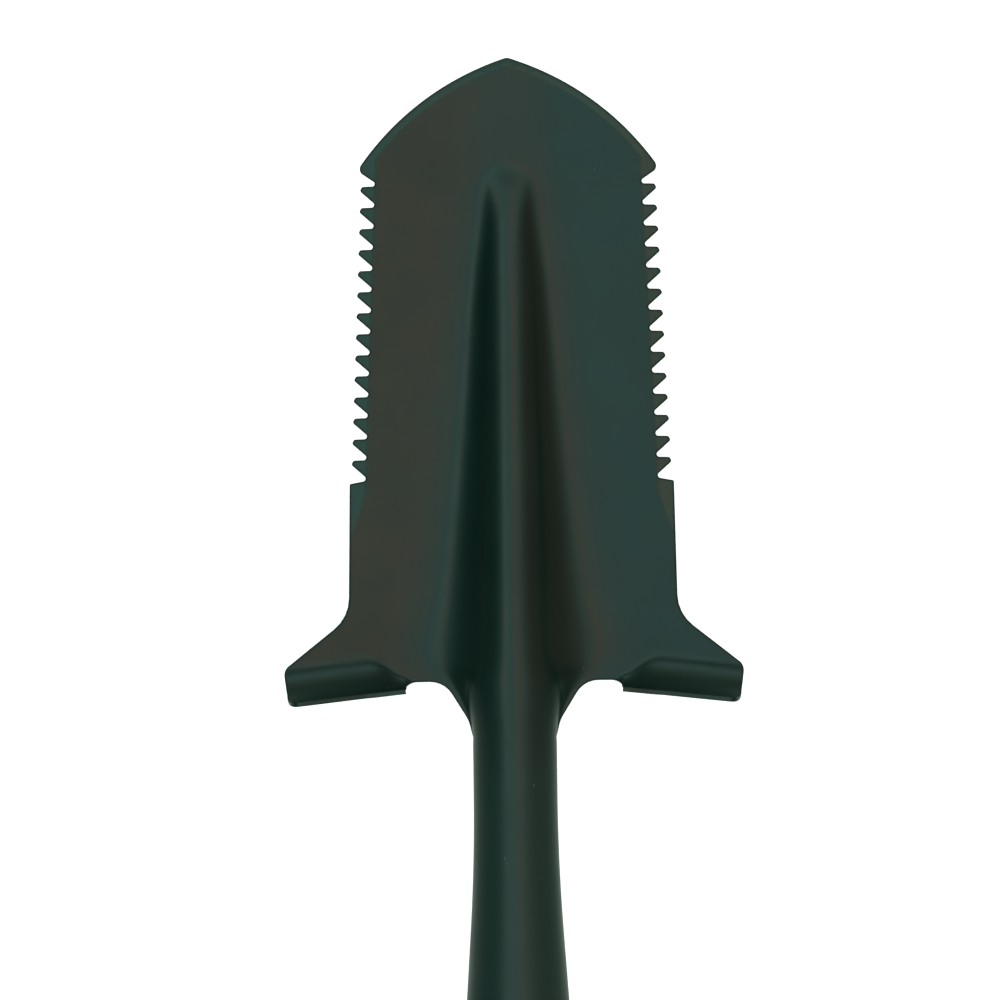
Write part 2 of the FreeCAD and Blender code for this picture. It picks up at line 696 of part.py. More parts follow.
def make_grip_nut():
    """Domed nut on the left end of the bolt."""
    seat = ARM_OUTER_X + GRIP_WASHER_THICK
    nut = hexagon(NUT_ACROSS_FLATS, NUT_HEX_HEIGHT)
    cap = dome(NUT_DOME_RADIUS, NUT_DOME_RADIUS * 0.85)
    cap.translate(X_DIR * NUT_HEX_HEIGHT)
    nut = mirrored(joined([nut, cap]))
    nut.translate(at(-seat, GRIP_AXIS_S))
    return nut.cut(across(BOLT_RADIUS, -seat - NUT_HEX_HEIGHT - 2.0, 0.0))


def make_grip_washers():
    washers = []
    for start in (-ARM_OUTER_X - GRIP_WASHER_THICK, ARM_OUTER_X):
        disc = across(GRIP_WASHER_RADIUS, start, start + GRIP_WASHER_THICK)
        washers.append(disc.cut(across(BOLT_RADIUS, start - 1, start + GRIP_WASHER_THICK + 1)))
    return Part.makeCompound(washers)


def main():
    os.makedirs("parts", exist_ok=True)
    blade = make_blade()
    for cutter in seats(SOCKET_RIVETS_S, socket_radius, WASHER_RADIUS + 0.5):
        blade = blade.cut(cutter)
    for hole in rivet_holes(SOCKET_RIVETS_S):
        blade = blade.cut(hole)
    yoke_right = make_yoke_half()
    parts = {
        "blade": blade,
        "socket_seam_weld": make_socket_seam_weld(),
        "shaft": make_shaft(),
        "socket_rivets": make_rivets(SOCKET_RIVETS_S, socket_radius),
        "socket_rivet_washers": make_washers(SOCKET_RIVETS_S, socket_radius),
        "yoke_right": yoke_right,
        "yoke_left": mirrored(yoke_right),
        "yoke_rivets": make_rivets(YOKE_RIVETS_S, ferrule_radius),
        "yoke_rivet_washers": make_washers(YOKE_RIVETS_S, ferrule_radius),
        "grip_tube": make_grip_tube(),
        "grip_tube_plugs": make_grip_tube_plugs(),
        "hand_grip": make_hand_grip(),
        "grip_bolt": make_grip_bolt(),
        "grip_nut": make_grip_nut(),
        "grip_washers": make_grip_washers(),
    }
    for name, shape in parts.items():
        shape.exportStep("parts/" + name + ".step")
        extent = shape.optimalBoundingBox()
        print(f"{name:22s} solids {len(shape.Solids)} valid {shape.isValid()} "
              f"volume {shape.Volume:10.1f} x {extent.XMin:7.2f} {extent.XMax:7.2f} "
              f"y {extent.YMin:8.2f} {extent.YMax:8.2f} z {extent.ZMin:6.2f} {extent.ZMax:6.2f}")


main()
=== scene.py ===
import math

import bmesh
import bpy
import numpy as np
from mathutils import Matrix, Vector, kdtree
from mathutils.geometry import delaunay_2d_cdt


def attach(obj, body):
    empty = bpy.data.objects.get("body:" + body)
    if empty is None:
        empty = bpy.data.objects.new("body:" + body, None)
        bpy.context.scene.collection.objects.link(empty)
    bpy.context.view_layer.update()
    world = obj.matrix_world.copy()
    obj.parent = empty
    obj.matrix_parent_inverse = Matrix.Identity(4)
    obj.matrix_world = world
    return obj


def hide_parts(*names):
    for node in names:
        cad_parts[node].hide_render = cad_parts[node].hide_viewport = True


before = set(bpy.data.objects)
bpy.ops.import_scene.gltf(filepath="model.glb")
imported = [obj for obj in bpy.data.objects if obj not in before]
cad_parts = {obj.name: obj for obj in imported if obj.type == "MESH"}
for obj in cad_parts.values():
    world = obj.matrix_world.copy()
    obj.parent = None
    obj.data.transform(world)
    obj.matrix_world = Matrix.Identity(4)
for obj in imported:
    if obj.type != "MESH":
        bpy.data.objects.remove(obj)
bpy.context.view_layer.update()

# Lengths are in millimetres until a mesh is made. A station is the distance from the
# blade's tip towards the handle, and heights count from the blade's face. A corner of an
# outline is its half width, its station and the radius that rounds it.
MM = 0.001
HALF_LENGTH = 391.0
FACE_Z = 20.8
SHEET = 1.8

# ---- blade outline ----
ARCH_RADIUS = 100.0
ARCH_X = 30.1
ARCH_S = 95.24
ARCH_ANGLES = (17.52, 54.9)
ARCH_STEPS = 40
TIP_ROUND = 3.0
TIP_BACK = 0.13             # how far back the rounding puts the tip
TIP_BEYOND = (-1.7, 0.54)   # the other half of the arch, from the sharp tip
SHOULDER = (51.7, 39.8)
SHOULDER_ROUND = 2.4
SHOULDER_ROUND_BEHIND = 2.16
TOOTH_COUNT = 14
TOOTH_PITCH = 7.36
FIRST_TOOTH_S = 46.2
FIRST_TOOTH_X = 51.7
FIRST_VALLEY_X = 46.4
SAW_TAPER = 0.0435
VALLEY_AHEAD = 2.7
VALLEY_FLAT = (0.7, 1.15)   # from a valley's first corner to its second
TOOTH_FLAT = (0.9, 1.45)    # from a tooth's first corner to its second
TOOTH_PROUD = 0.15
TOOTH_ROUND = 0.9
LEDGE_ROUND = 0.6
SIDE_TOP_X = 56.6
SIDE_TURN = (57.5, 195.3, 14.0)
TREAD_CORNER = (80.5, 213.4, 4.0)
NECK_NOTCH = ((37.4, 218.2, 3.2), (24.5, 218.2, 9.0), (16.0, 232.0, 10.0))

# ---- ground edges ----
BEVEL_WIDTH = 2.9
BEVEL_DEPTH = 0.6
SAW_BEVEL_WIDTH = 5.1
SAW_BEVEL_DEPTH = 0.9
SAW_BEVEL_FADE = (151.0, 168.0)
SAW_BEVEL_LEAST = 0.25      # share of the width that is left where it has faded
ARCH_BEVEL_END_S = 60.0
SAW_BEVEL_START_S = 36.0
# Lines where the ground edges start, as the mesh follows them.
ARCH_LINE_ANGLES = (18.1, 55.1)
ARCH_LINE_POINTS = 60
ARCH_LINE_INNER_X = 0.4
SAW_LINE = (43.5, 149.5)
SAW_LINE_POINTS = 107

# ---- rib, neck and socket ----
NECK_S = 238.0
NECK_RADIUS = 14.7
# Sections of the rib: station, height, half width at the foot, crown radius.
RIB_SECTIONS = (
    (30.0, 0.001, 0.5, 80.0),
    (34.0, 0.01, 2.0, 80.0),
    (37.0, 0.15, 6.0, 62.0),
    (40.0, 0.62, 9.4, 45.0),
    (45.0, 1.60, 11.6, 26.0),
    (51.0, 2.65, 12.4, 17.0),
    (57.0, 3.50, 12.9, 13.4),
    (67.0, 4.60, 14.0, 12.4),
    (85.0, 6.20, 16.0, 12.6),
    (120.0, 8.50, 19.2, 12.6),
    (155.0, 11.0, 23.2, 13.0),
    (190.0, 13.0, 28.6, 13.6),
    (204.0, 13.6, 31.8, 14.2),
    (211.0, 13.9, 31.0, 15.4),
    (218.0, 14.2, 25.0, 17.6),
    (225.0, 14.4, 18.8, 17.0),
    (232.0, 14.6, 16.0, 15.4),
    (238.0, 14.7, 14.7, 14.65),
)
DISH_RADIUS = 150.0         # the blade curves forward beside the rib ...
DISH_RUN = 15.0             # ... for this far, and goes on straight to its edge
DISH_START = (4.0, 0.16, 52.0)   # half width at the tip, growth back to a station
STRAIGHT_NECK_S = 258.0
FLARE_END_S = 307.0
FLARE_END_RADIUS = 16.4
MOUTH_S = 372.0
MOUTH_RADIUS = 20.8
OPEN_BACK_S = 264.0
SEAM_HALF_GAP = 0.5

# ---- treads ----
STEP_END_X = 37.7
STEP_FULL_X = 53.0
STEP_OUTER_X = 79.3
STEP_BACK_S = 222.0
STEP_BACK_SLOPE = 4.4 / 41.6
STEP_RADIUS = 15.2
STEP_RADIUS_FALL = 0.05
STEP_END_RADIUS = 4.5
STEP_HEIGHT = 13.8
STEP_CORNER = (4.8, 10.0)
STEP_END_ROUND = 0.8
STEP_END_EASE = 1.0         # how far past the inner end the bend starts to widen
STEP_END_FALL = 0.8         # how fast the bend's start moves back past that end
BEND_INNER_X = 31.7         # the bend shapes the sheet outside this half width ...
BEND_LAST_S = 250.0         # ... and ahead of this unrolled station

# ---- shaft, rivets and handle ----
SLACK = 0.03
SHAFT_RADIUS = 19.0
SHAFT_NOSE_S = 266.0
SHAFT_TOP_S = 700.0
SHAFT_END_ROUND = 2.4
RIVET_SHANK = 2.5
RIVET_HEAD = 5.0
RIVET_RISE = 2.2
RIVET_RIM = 0.3
RIVET_SET = (0.85, 0.8)     # radius and rise of the set end, as shares of the head's
RIVET_SINK = 0.45
RIVET_WASHER = 1.0
RIVET_WASHER_RADIUS = 6.5
SOCKET_RIVETS_S = (343.0, 361.0)
YOKE_RIVETS_S = (648.0, 668.0)
FERRULE_RADIUS = 20.6
ARM_OUTER_X = 60.0
GRIP_AXIS_S = 765.0
GRIP_HALF = 52.0
GRIP_RADIUS = 15.2
GRIP_COLLAR = 17.0
GRIP_COLLAR_LENGTH = 4.0
GRIP_COLLAR_ROUND = 1.2
GRIP_FILLET = ((0.25, 0.05), (0.0, 0.4))    # over the grip's radius, past the collar
GRIP_GROOVES = 7
GRIP_GROOVE_PITCH = 11.0
GRIP_GROOVE_WIDTH = 2.6
GRIP_GROOVE_DEPTH = 0.8
GRIP_GROOVE_REACH = 1.35    # rows of a groove run this far, in half widths
GRIP_GROOVE_ROWS = 15
GRIP_GROOVE_STEEPNESS = 1.6
TUBE_RADIUS = 10.0
GRIP_WASHER = 1.2
GRIP_WASHER_RADIUS = 8.5
BOLT_RADIUS = 4.0
BOLT_HEAD = 7.5
BOLT_RIM = 0.4
BOLT_RISE = 4.4
BOLT_PAST_ARM = 7.0
KEY_RIM = (3.4, 0.25)       # radius and rise of the rim round the hexagon socket
KEY_APOTHEM = 2.5
KEY_CHAMFER = 0.1
KEY_DEPTH = 2.3
KEY_POINT = 0.3
KEY_BEYOND = 9.0            # any radius past the socket's corners
NUT_APOTHEM = 6.5
NUT_HEX = 5.0
NUT_CHAMFER = ((0.35, 0.25), (0.0, 0.6))        # in from the corners, from the seat
NUT_SHOULDER = ((0.0, 0.7), (0.5, 0.25))        # in from the corners, from the dome
NUT_TOP_INSET = 0.2
NUT_DOME = 5.8
NUT_DOME_SHARE = 0.85
WELD_START_S = 267.0
WELD_END_S = 350.0
WELD_WIDTH = 4.4
WELD_RISE = 0.6
WELD_PITCH = 2.3
WELD_ROW = 0.4
WELD_ACROSS = 12
WELD_END_LENGTH = 2.4
WELD_LAG = 1.1              # how far a ripple trails at the bead's sides
WELD_SINK = 0.3
WELD_ROOT = 0.6

# ---- mesh of the head ----
GRID_Q = 1.5
GRID_S = 2.0
GRID_COLUMNS = 60           # on each side of the middle
OUTLINE_STEP = 1.0
SEAM_STEP = 1.5
MOUTH_STEPS = 46
BACK_STEPS = 24             # where the sheet closes round the back of the neck
CORNER_STEP = 14.0          # degrees of a rounded corner between two points
BEND_STEP = 0.2             # half the span over which the sheet's slope is taken
GROUND_STEP = 0.12          # the same with the ground edges
EDGE_ROUND = 0.35
EDGE_STEPS = 3
RIM_SHADE_INSIDE = 0.5            # how much of the painted shade on the rim is left where the rounding ends
RIM_BAND = 0.9              # where the painted shade on the rim ends, from the outline
CLEAR_OF_BAND = 0.6         # room between the grid and the band or a ground edge
BAND_CLEAR_OF_LINE = 0.4
BAND_FOLD = 0.05            # points of the band this much nearer to the edge are left out
LINE_CLEAR_OF_EDGE = 0.5

# ---- green coat ----
# Chips in the coat of the head: half width, station, height, size.
HEAD_CHIPS = (
    (-17.9, 213.0, 7.6, 0.35),
    (22.7, 214.2, 1.6, 0.30),
    (24.4, 214.0, 0.9, 0.30),
    (6.4, 254.7, 13.2, 0.16),
    (-4.0, 279.8, 14.5, 0.18),
    (-3.6, 281.4, 14.7, 0.05),
)
CHIP_STRETCH = 0.4
CHIP_EDGE = (0.4, 0.7)      # where a chip fades out, past its size
COAT_DARK = (0.0064, 0.0190, 0.0150)
COAT_LIGHT = (0.0086, 0.0230, 0.0180)
COAT_SOCKET = (0.0165, 0.0370, 0.0310)
# Paler coat on the ground bevels: partly wear, partly a painted highlight.
COAT_WORN_AND_HIGHLIGHT = (0.0190, 0.0470, 0.0350)
# Near black painted shade along the sheet's rounded edge.
COAT_RIM_SHADE = (0.0010, 0.0030, 0.0024)
COAT_DUST = (0.0450, 0.0600, 0.0520)
COAT_CHIP = (0.2300, 0.2700, 0.2300)
COAT_ROUGHNESS = (0.28, 0.35)
GROUND_SHOWS = (0.02, 0.12)                 # depths over which the paler coat comes in: wear and a painted highlight on the ground bevels
SOCKET_DULLER = (0.175, 0.135, 0.0, 0.08)   # from the blade's end to the neck, in metres
RIM_DULLER = 0.5

# ---- floor, light and view, in metres ----
FLOOR_REACH = 6.0
LIGHT_AIM = (0.0, 0.25, 0.02)
LIGHT_REACH = 1.6
# Surroundings: sine of the height over the horizon, colour.
SKY = (
    (-1.0, (0.62, 0.76, 0.64)),
    (-0.75, (0.50, 0.64, 0.52)),
    (-0.45, (0.15, 0.24, 0.18)),
    (-0.05, (0.13, 0.20, 0.15)),
    (0.02, (0.01, 0.01, 0.01)),
)
BACKDROP = (0.93, 0.93, 0.93)
WARM = (1.00, 0.70, 0.50)
TEAL = (0.28, 0.95, 1.00)
PALE_GREEN = (0.80, 1.00, 0.82)
PALE_BLUE = (0.58, 1.00, 0.90)
# Soft boxes: name, tilt across and along, width and length as angles, strength, tint.
SOFT_BOXES = (
    ("right_key", 8, 0, 16, 50, 1.3, WARM),
    ("right_cool", 23, 0, 14, 50, 0.9, PALE_BLUE),
    ("right_warm", 38, 0, 16, 50, 0.35, WARM),
    ("right_edge", 65, 0, 42, 50, 0.2, WARM),
    ("left_key", -8, 0, 16, 50, 1.1, TEAL),
    ("left_top", -23, 0, 14, 50, 1.45, PALE_GREEN),
    ("left_cool", -38, 0, 16, 50, 0.3, TEAL),
    ("left_edge", -62, 0, 38, 50, 0.06, TEAL),
    ("tip_low", 0, 25, 60, 8, 1.2, PALE_BLUE),
    ("tip_middle", 0, 38, 60, 18, 0.08, TEAL),
    ("tip_high", 0, 56, 60, 20, 1.3, PALE_BLUE),
    ("tip_edge", 0, 76, 60, 22, 0.4, PALE_GREEN),
    ("handle_side", 0, -56, 60, 16, 2.1, PALE_BLUE),
)
# The camera looks straight down on the head, turned a little from its axis.
VIEW_MIDDLE = (-0.0042, 0.2362)
VIEW_TURN = -0.70
VIEW_WIDTH = 0.350
CAMERA_HEIGHT = 3.0
SENSOR = 36.0


def placed(name, data):
    """A new object in the scene."""
    thing = bpy.data.objects.new(name, data)
    bpy.context.scene.collection.objects.link(thing)
    return thing


def smoothstep(t):
    """Carries 0..1 smoothly to 0..1, held at both ends."""
    t = np.clip(t, 0.0, 1.0)
    return t * t * (3 - 2 * t)


def to_frame(x, s, z):
    """Points in the row frame, in metres."""
    return np.stack([x, HALF_LENGTH - s, FACE_Z + z], axis=-1) * MM


# ---- sheet surface ----
def loft(s, column):
    """One column of the rib's sections, carried smoothly between their stations."""
    stations = np.array([row[0] for row in RIB_SECTIONS])
    values = np.array([row[column] for row in RIB_SECTIONS])
    slopes = np.diff(values) / np.diff(stations)
    inner = np.where(slopes[1:] * slopes[:-1] > 0, (slopes[1:] + slopes[:-1]) / 2, 0.0)
    limit = 3 * np.minimum(np.abs(slopes[1:]), np.abs(slopes[:-1]))
    inner = np.sign(inner) * np.minimum(np.abs(inner), limit)
    tangents = np.concatenate([[0.0], inner, [slopes[-1]]])
    s = np.clip(s, stations[0], stations[-1])
    i = np.clip(np.searchsorted(stations, s) - 1, 0, len(stations) - 2)
    gap = stations[i + 1] - stations[i]
    t = (s - stations[i]) / gap
    return (values[i] * (1 + 2 * t) * (1 - t) ** 2 + tangents[i] * gap * t * (1 - t) ** 2
            + values[i + 1] * t ** 2 * (3 - 2 * t) + tangents[i + 1] * gap * t ** 2 * (t - 1))


def rib(s):
    """Height, half width at the foot, crown radius and foot radius of the rib."""
    height, foot_x, crown = loft(s, 1), loft(s, 2), loft(s, 3)
    reach = (foot_x ** 2 + height ** 2) / (2 * height)
    crown = np.minimum(crown, 0.99 * reach)
    return height, foot_x, crown, reach - crown


def socket_radius(s):
    """Outer radius of the neck and socket."""
    reach = FLARE_END_S - STRAIGHT_NECK_S
    drop = FLARE_END_RADIUS - NECK_RADIUS
    swing = (reach ** 2 + drop ** 2) / (2 * drop)
    along = np.clip(s - STRAIGHT_NECK_S, 0.0, reach)
    flare = NECK_RADIUS + swing - np.sqrt(swing ** 2 - along ** 2)
    cone = (MOUTH_RADIUS - FLARE_END_RADIUS) * (s - FLARE_END_S) / (MOUTH_S - FLARE_END_S)
    return flare + np.maximum(0.0, cone)


def section(q, s):
    """Half width and height of the front skin at arc length q from the middle."""
    a = np.abs(q)
    height, foot_x, crown, foot = rib(s)
    reach = crown + foot
    lean = np.arcsin(np.clip(foot_x / reach, 0.0, 1.0))
    turn = a / crown
    x, z = crown * np.sin(turn), height - crown + crown * np.cos(turn)
    back = lean - (a - crown * lean) / foot
    past_crown = a > crown * lean
    x = np.where(past_crown, foot_x - foot * np.sin(back), x)
    z = np.where(past_crown, foot - foot * np.cos(back), z)
    past_foot = a > reach * lean
    beyond = a - reach * lean
    x = np.where(past_foot, foot_x + beyond, x)
    tip_start, growth, last = DISH_START
    dished = foot_x + beyond - np.maximum(foot_x, tip_start + growth * np.minimum(s, last))
    curved = np.clip(dished, 0.0, DISH_RUN)
    z = np.where(past_foot, curved * (dished - curved / 2) / DISH_RADIUS, z)
    radius = socket_radius(s)
    tube = s >= NECK_S
    x = np.where(tube, radius * np.sin(a / radius), x)
    z = np.where(tube, radius * np.cos(a / radius), z)
    return np.where(q < 0, -x, x), z


def arc_length(x, s):
    """Arc length from the middle out to a half width, ahead of the neck."""
    _, foot_x, crown, foot = [float(v) for v in rib(np.array(s))]
    reach = crown + foot
    lean = math.asin(min(1.0, foot_x / reach))
    if x >= foot_x:
        return reach * lean + x - foot_x
    if x > crown * math.sin(lean):
        return crown * lean + foot * (lean - math.asin(min(1.0, (foot_x - x) / foot)))
    return crown * math.asin(min(1.0, x / crown))


def step_bend(x):
    """Station where the sheet starts to turn forward into the step, and its radius."""
    full = STEP_RADIUS - STEP_RADIUS_FALL * np.maximum(0.0, x - STEP_FULL_X)
    share = smoothstep((x - STEP_END_X + STEP_END_EASE) / (STEP_FULL_X - STEP_END_X))
    radius = STEP_END_RADIUS + (full - STEP_END_RADIUS) * share
    back = STEP_BACK_S + STEP_BACK_SLOPE * (x - STEP_END_X)
    past_end = STEP_END_FALL * np.maximum(0.0, STEP_END_X - x)
    return back - SHEET - radius + past_end, radius


def skin(q, p):
    """Front skin before grinding, from arc length q and unrolled station p."""
    x, z = section(q, p)
    line, radius = step_bend(np.abs(x))
    over = np.maximum(0.0, p - line)
    turn = np.minimum(over / (radius + SHEET / 2), math.pi / 2)
    wall = np.maximum(0.0, over - (radius + SHEET / 2) * math.pi / 2)
    bent = (p > line) & (np.abs(x) > BEND_INNER_X) & (p < BEND_LAST_S)
    s = np.where(bent, line + radius * np.sin(turn), p)
    z = np.where(bent, z + radius * (1 - np.cos(turn)) + wall, z)
    return np.stack([x, -s, z], axis=-1)


def step_edge(x):
    """Unrolled station of the step's free edge."""
    line, radius = step_bend(np.array(x))
    return float(line + (radius + SHEET / 2) * math.pi / 2 + STEP_HEIGHT - radius)


def unit(v):
    """Vectors scaled to length 1."""
    return v / np.maximum(np.linalg.norm(v, axis=-1, keepdims=True), 1e-12)


def facing(surface, q, p, step):
    """Unit normals of a surface, on its front side."""
    across = surface(q + step, p) - surface(q - step, p)
    along = surface(q, p + step) - surface(q, p - step)
    return unit(np.cross(along, across))


def ground_depth(q, p):
    """How much the ground bevels take off the front skin."""
    x, _ = section(q, p)
    x = np.abs(x)
    arch = ARCH_RADIUS - np.hypot(x + ARCH_X, p - ARCH_S)
    depth = BEVEL_DEPTH * np.clip(1 - arch / BEVEL_WIDTH, 0.0, 1.0) * (p < ARCH_BEVEL_END_S)
    saw = FIRST_TOOTH_X + SAW_TAPER * (p - FIRST_TOOTH_S) - x
    start, end = SAW_BEVEL_FADE
    fade = np.clip((end - p) / (end - start), 0.0, 1.0)
    reach = SAW_BEVEL_WIDTH * (SAW_BEVEL_LEAST + (1 - SAW_BEVEL_LEAST) * fade)
    saw_depth = SAW_BEVEL_DEPTH * fade * np.clip(1 - saw / reach, 0.0, 1.0)
    return np.maximum(depth, saw_depth * (p > SAW_BEVEL_START_S))


def front(q, p):
    """Front skin with its ground edges."""
    n = facing(skin, q, p, BEND_STEP)
    return skin(q, p) - n * ground_depth(q, p)[..., None]


# ---- outline ----
def rounded(corners, step):
    """Points along a line through (x, s, radius) corners, no further apart than step."""
    points = []
    for i, (x, s, radius) in enumerate(corners):
        here = np.array([x, s])
        if radius == 0 or i in (0, len(corners) - 1):
            points.append(here)
            continue
        back = unit(np.array(corners[i - 1][:2]) - here)
        ahead = unit(np.array(corners[i + 1][:2]) - here)
        half = math.acos(max(-1.0, min(1.0, float(back @ ahead)))) / 2
        centre = here + unit(back + ahead) * radius / math.sin(half)
        first = here + back * radius / math.tan(half) - centre
        last = here + ahead * radius / math.tan(half) - centre
        swing = math.pi - 2 * half
        count = max(2, int(math.ceil(swing / math.radians(CORNER_STEP))))
        for k in range(count + 1):
            a = swing * k / count
            arm = (first * math.sin(swing - a) + last * math.sin(a)) / math.sin(swing)
            points.append(centre + arm)
    filled = [points[0]]
    for point in points[1:]:
        gap = np.linalg.norm(point - filled[-1])
        count = max(1, int(math.ceil(gap / step)))
        start = filled[-1]
        for k in range(1, count + 1):
            filled.append(start + (point - start) * k / count)
    return np.array(filled)


def arch_station(degrees):
    """Station of the pointed arch where its arc has turned this far."""
    return ARCH_S - ARCH_RADIUS * math.cos(math.radians(degrees))


def arch_corners():
    """Corners of the arch, from just across the middle to the shoulder."""
    first, last = ARCH_ANGLES
    beyond_x, beyond_s = TIP_BEYOND
    corners = [(beyond_x, arch_station(first) + beyond_s, 0),
               (0.0, arch_station(first), TIP_ROUND)]
    for i in range(1, ARCH_STEPS):
        turn = first + (last - first) * i / ARCH_STEPS
        x = ARCH_RADIUS * math.sin(math.radians(turn)) - ARCH_X
        corners.append((x, arch_station(turn), 0))
    corners.append((SHOULDER[0], arch_station(last), SHOULDER_ROUND))
    corners.append((*SHOULDER, SHOULDER_ROUND_BEHIND))
    return corners


def saw_corners():
    """Corners of the teeth, each valley ahead of its tooth."""
    corners = []
    for i in range(TOOTH_COUNT + 1):
        tip_s = FIRST_TOOTH_S + i * TOOTH_PITCH
        valley_s = tip_s - VALLEY_AHEAD
        valley_x = FIRST_VALLEY_X + SAW_TAPER * (valley_s - FIRST_TOOTH_S)
        corners.append((valley_x, valley_s, TOOTH_ROUND))
        corners.append((valley_x + VALLEY_FLAT[0], valley_s + VALLEY_FLAT[1], TOOTH_ROUND))
        if i < TOOTH_COUNT:
            tip_x = FIRST_TOOTH_X + SAW_TAPER * (tip_s - FIRST_TOOTH_S) + TOOTH_PROUD
            corners.append((tip_x - TOOTH_FLAT[0], tip_s - TOOTH_FLAT[1], TOOTH_ROUND))
            corners.append((tip_x, tip_s, TOOTH_ROUND))
    return corners


def tread_corners():
    """Corners of the tread's free edge, from its outer corner to its inner end."""
    corners = []
    wide, high = STEP_CORNER
    for turn in np.linspace(0.0, math.pi / 2, 13):
        x = STEP_OUTER_X - wide * (1 - math.cos(turn))
        corners.append((x, step_edge(x) - high * (1 - math.sin(turn)), 0))
    for x in np.linspace(STEP_OUTER_X - wide, STEP_END_X, 17)[1:-1]:
        corners.append((x, step_edge(x), 0))
    corners.append((STEP_END_X, step_edge(STEP_END_X), STEP_END_ROUND))
    return corners


def plan_outline():
    """Right half of the flat outline, from the tip to the neck."""
    ledge_s = FIRST_TOOTH_S + TOOTH_COUNT * TOOTH_PITCH
    corners = arch_corners() + saw_corners()
    corners += [(SIDE_TOP_X, ledge_s - LEDGE_ROUND, LEDGE_ROUND), SIDE_TURN, TREAD_CORNER]
    corners += tread_corners()
    corners += [*NECK_NOTCH, (NECK_RADIUS, NECK_S, 0)]
    plan = rounded(corners, OUTLINE_STEP)
    return plan[plan[:, 0] >= -1e-9]


def back_corners():
    """Right half of the unrolled outline behind the cut-outs, as arc lengths and stations."""
    right = []
    for i in range(1, BACK_STEPS + 1):
        swing = math.pi / 2 * i / BACK_STEPS
        s = NECK_S + (OPEN_BACK_S - NECK_S) * math.sin(swing)
        radius = float(socket_radius(s))
        limit = math.pi / 2 - SEAM_HALF_GAP / radius
        right.append((radius * (math.pi / 2 + limit * (1 - math.cos(swing))), s))
    seam_rows = int((MOUTH_S - OPEN_BACK_S) / SEAM_STEP)
    for i in range(1, seam_rows + 1):
        s = OPEN_BACK_S + (MOUTH_S - OPEN_BACK_S) * i / seam_rows
        right.append((math.pi * float(socket_radius(s)) - SEAM_HALF_GAP, s))
    mouth = math.pi * MOUTH_RADIUS - SEAM_HALF_GAP
    for i in range(1, MOUTH_STEPS):
        right.append((mouth * (1 - i / MOUTH_STEPS), MOUTH_S))
    return right


def sheet_outline():
    """Closed outline of the unrolled head as arc lengths and stations."""
    right = [(arc_length(x, s), s) for x, s in plan_outline()]
    right = np.array(right + back_corners())
    if right[0, 0] < 1e-3:
        right = right[1:]
    left = right[::-1] * np.array([-1.0, 1.0])
    tip = [[0.0, arch_station(ARCH_ANGLES[0]) + TIP_BACK]]
    return np.concatenate([tip, right, [[0.0, MOUTH_S]], left])


def signed_area(loop):
    """Twice the area of a closed loop, below 0 when it runs the other way round."""
    after = np.roll(loop, -1, axis=0)
    return np.sum(loop[:, 0] * after[:, 1] - loop[:, 1] * after[:, 0])


def outward(loop):
    """Unit vectors that point out of a closed loop at its points."""
    ahead = unit(np.roll(loop, -1, axis=0) - loop)
    behind = unit(loop - np.roll(loop, 1, axis=0))
    along = unit(ahead + behind)
    out = np.stack([along[:, 1], -along[:, 0]], axis=-1)
    return out if signed_area(loop) > 0 else -out


def inside(points, loop):
    """Whether each point lies within a closed loop."""
    result = np.zeros(len(points), bool)
    a, b = loop, np.roll(loop, -1, axis=0)
    for (x0, y0), (x1, y1) in zip(a, b):
        crosses = (y0 > points[:, 1]) != (y1 > points[:, 1])
        if y0 != y1:
            cut = x0 + (points[:, 1] - y0) * (x1 - x0) / (y1 - y0)
            result ^= crosses & (points[:, 0] < cut)
    return result


def bevel_lines():
    """Inner lines of the ground edges on both sides, as arc lengths and stations."""
    arch = []
    radius = ARCH_RADIUS - BEVEL_WIDTH
    for degrees in np.linspace(*ARCH_LINE_ANGLES, ARCH_LINE_POINTS):
        turn = math.radians(degrees)
        x, s = radius * math.sin(turn) - ARCH_X, ARCH_S - radius * math.cos(turn)
        if x > ARCH_LINE_INNER_X:
            arch.append((arc_length(x, s), s))
    saw = []
    for s in np.linspace(*SAW_LINE, SAW_LINE_POINTS):
        x = FIRST_TOOTH_X + SAW_TAPER * (s - FIRST_TOOTH_S) - SAW_BEVEL_WIDTH
        saw.append((arc_length(x, s), s))
    lines = []
    for line in (arch, saw):
        lines.append(line)
        lines.append([(-q, p) for q, p in line])
    return lines


def distance_to(points):
    """A function that gives a place's distance to the nearest of some points."""
    tree = kdtree.KDTree(len(points))
    for i, (q, p) in enumerate(points):
        tree.insert((q, p, 0), i)
    tree.balance()
    return lambda spot: tree.find((*spot, 0))[2]


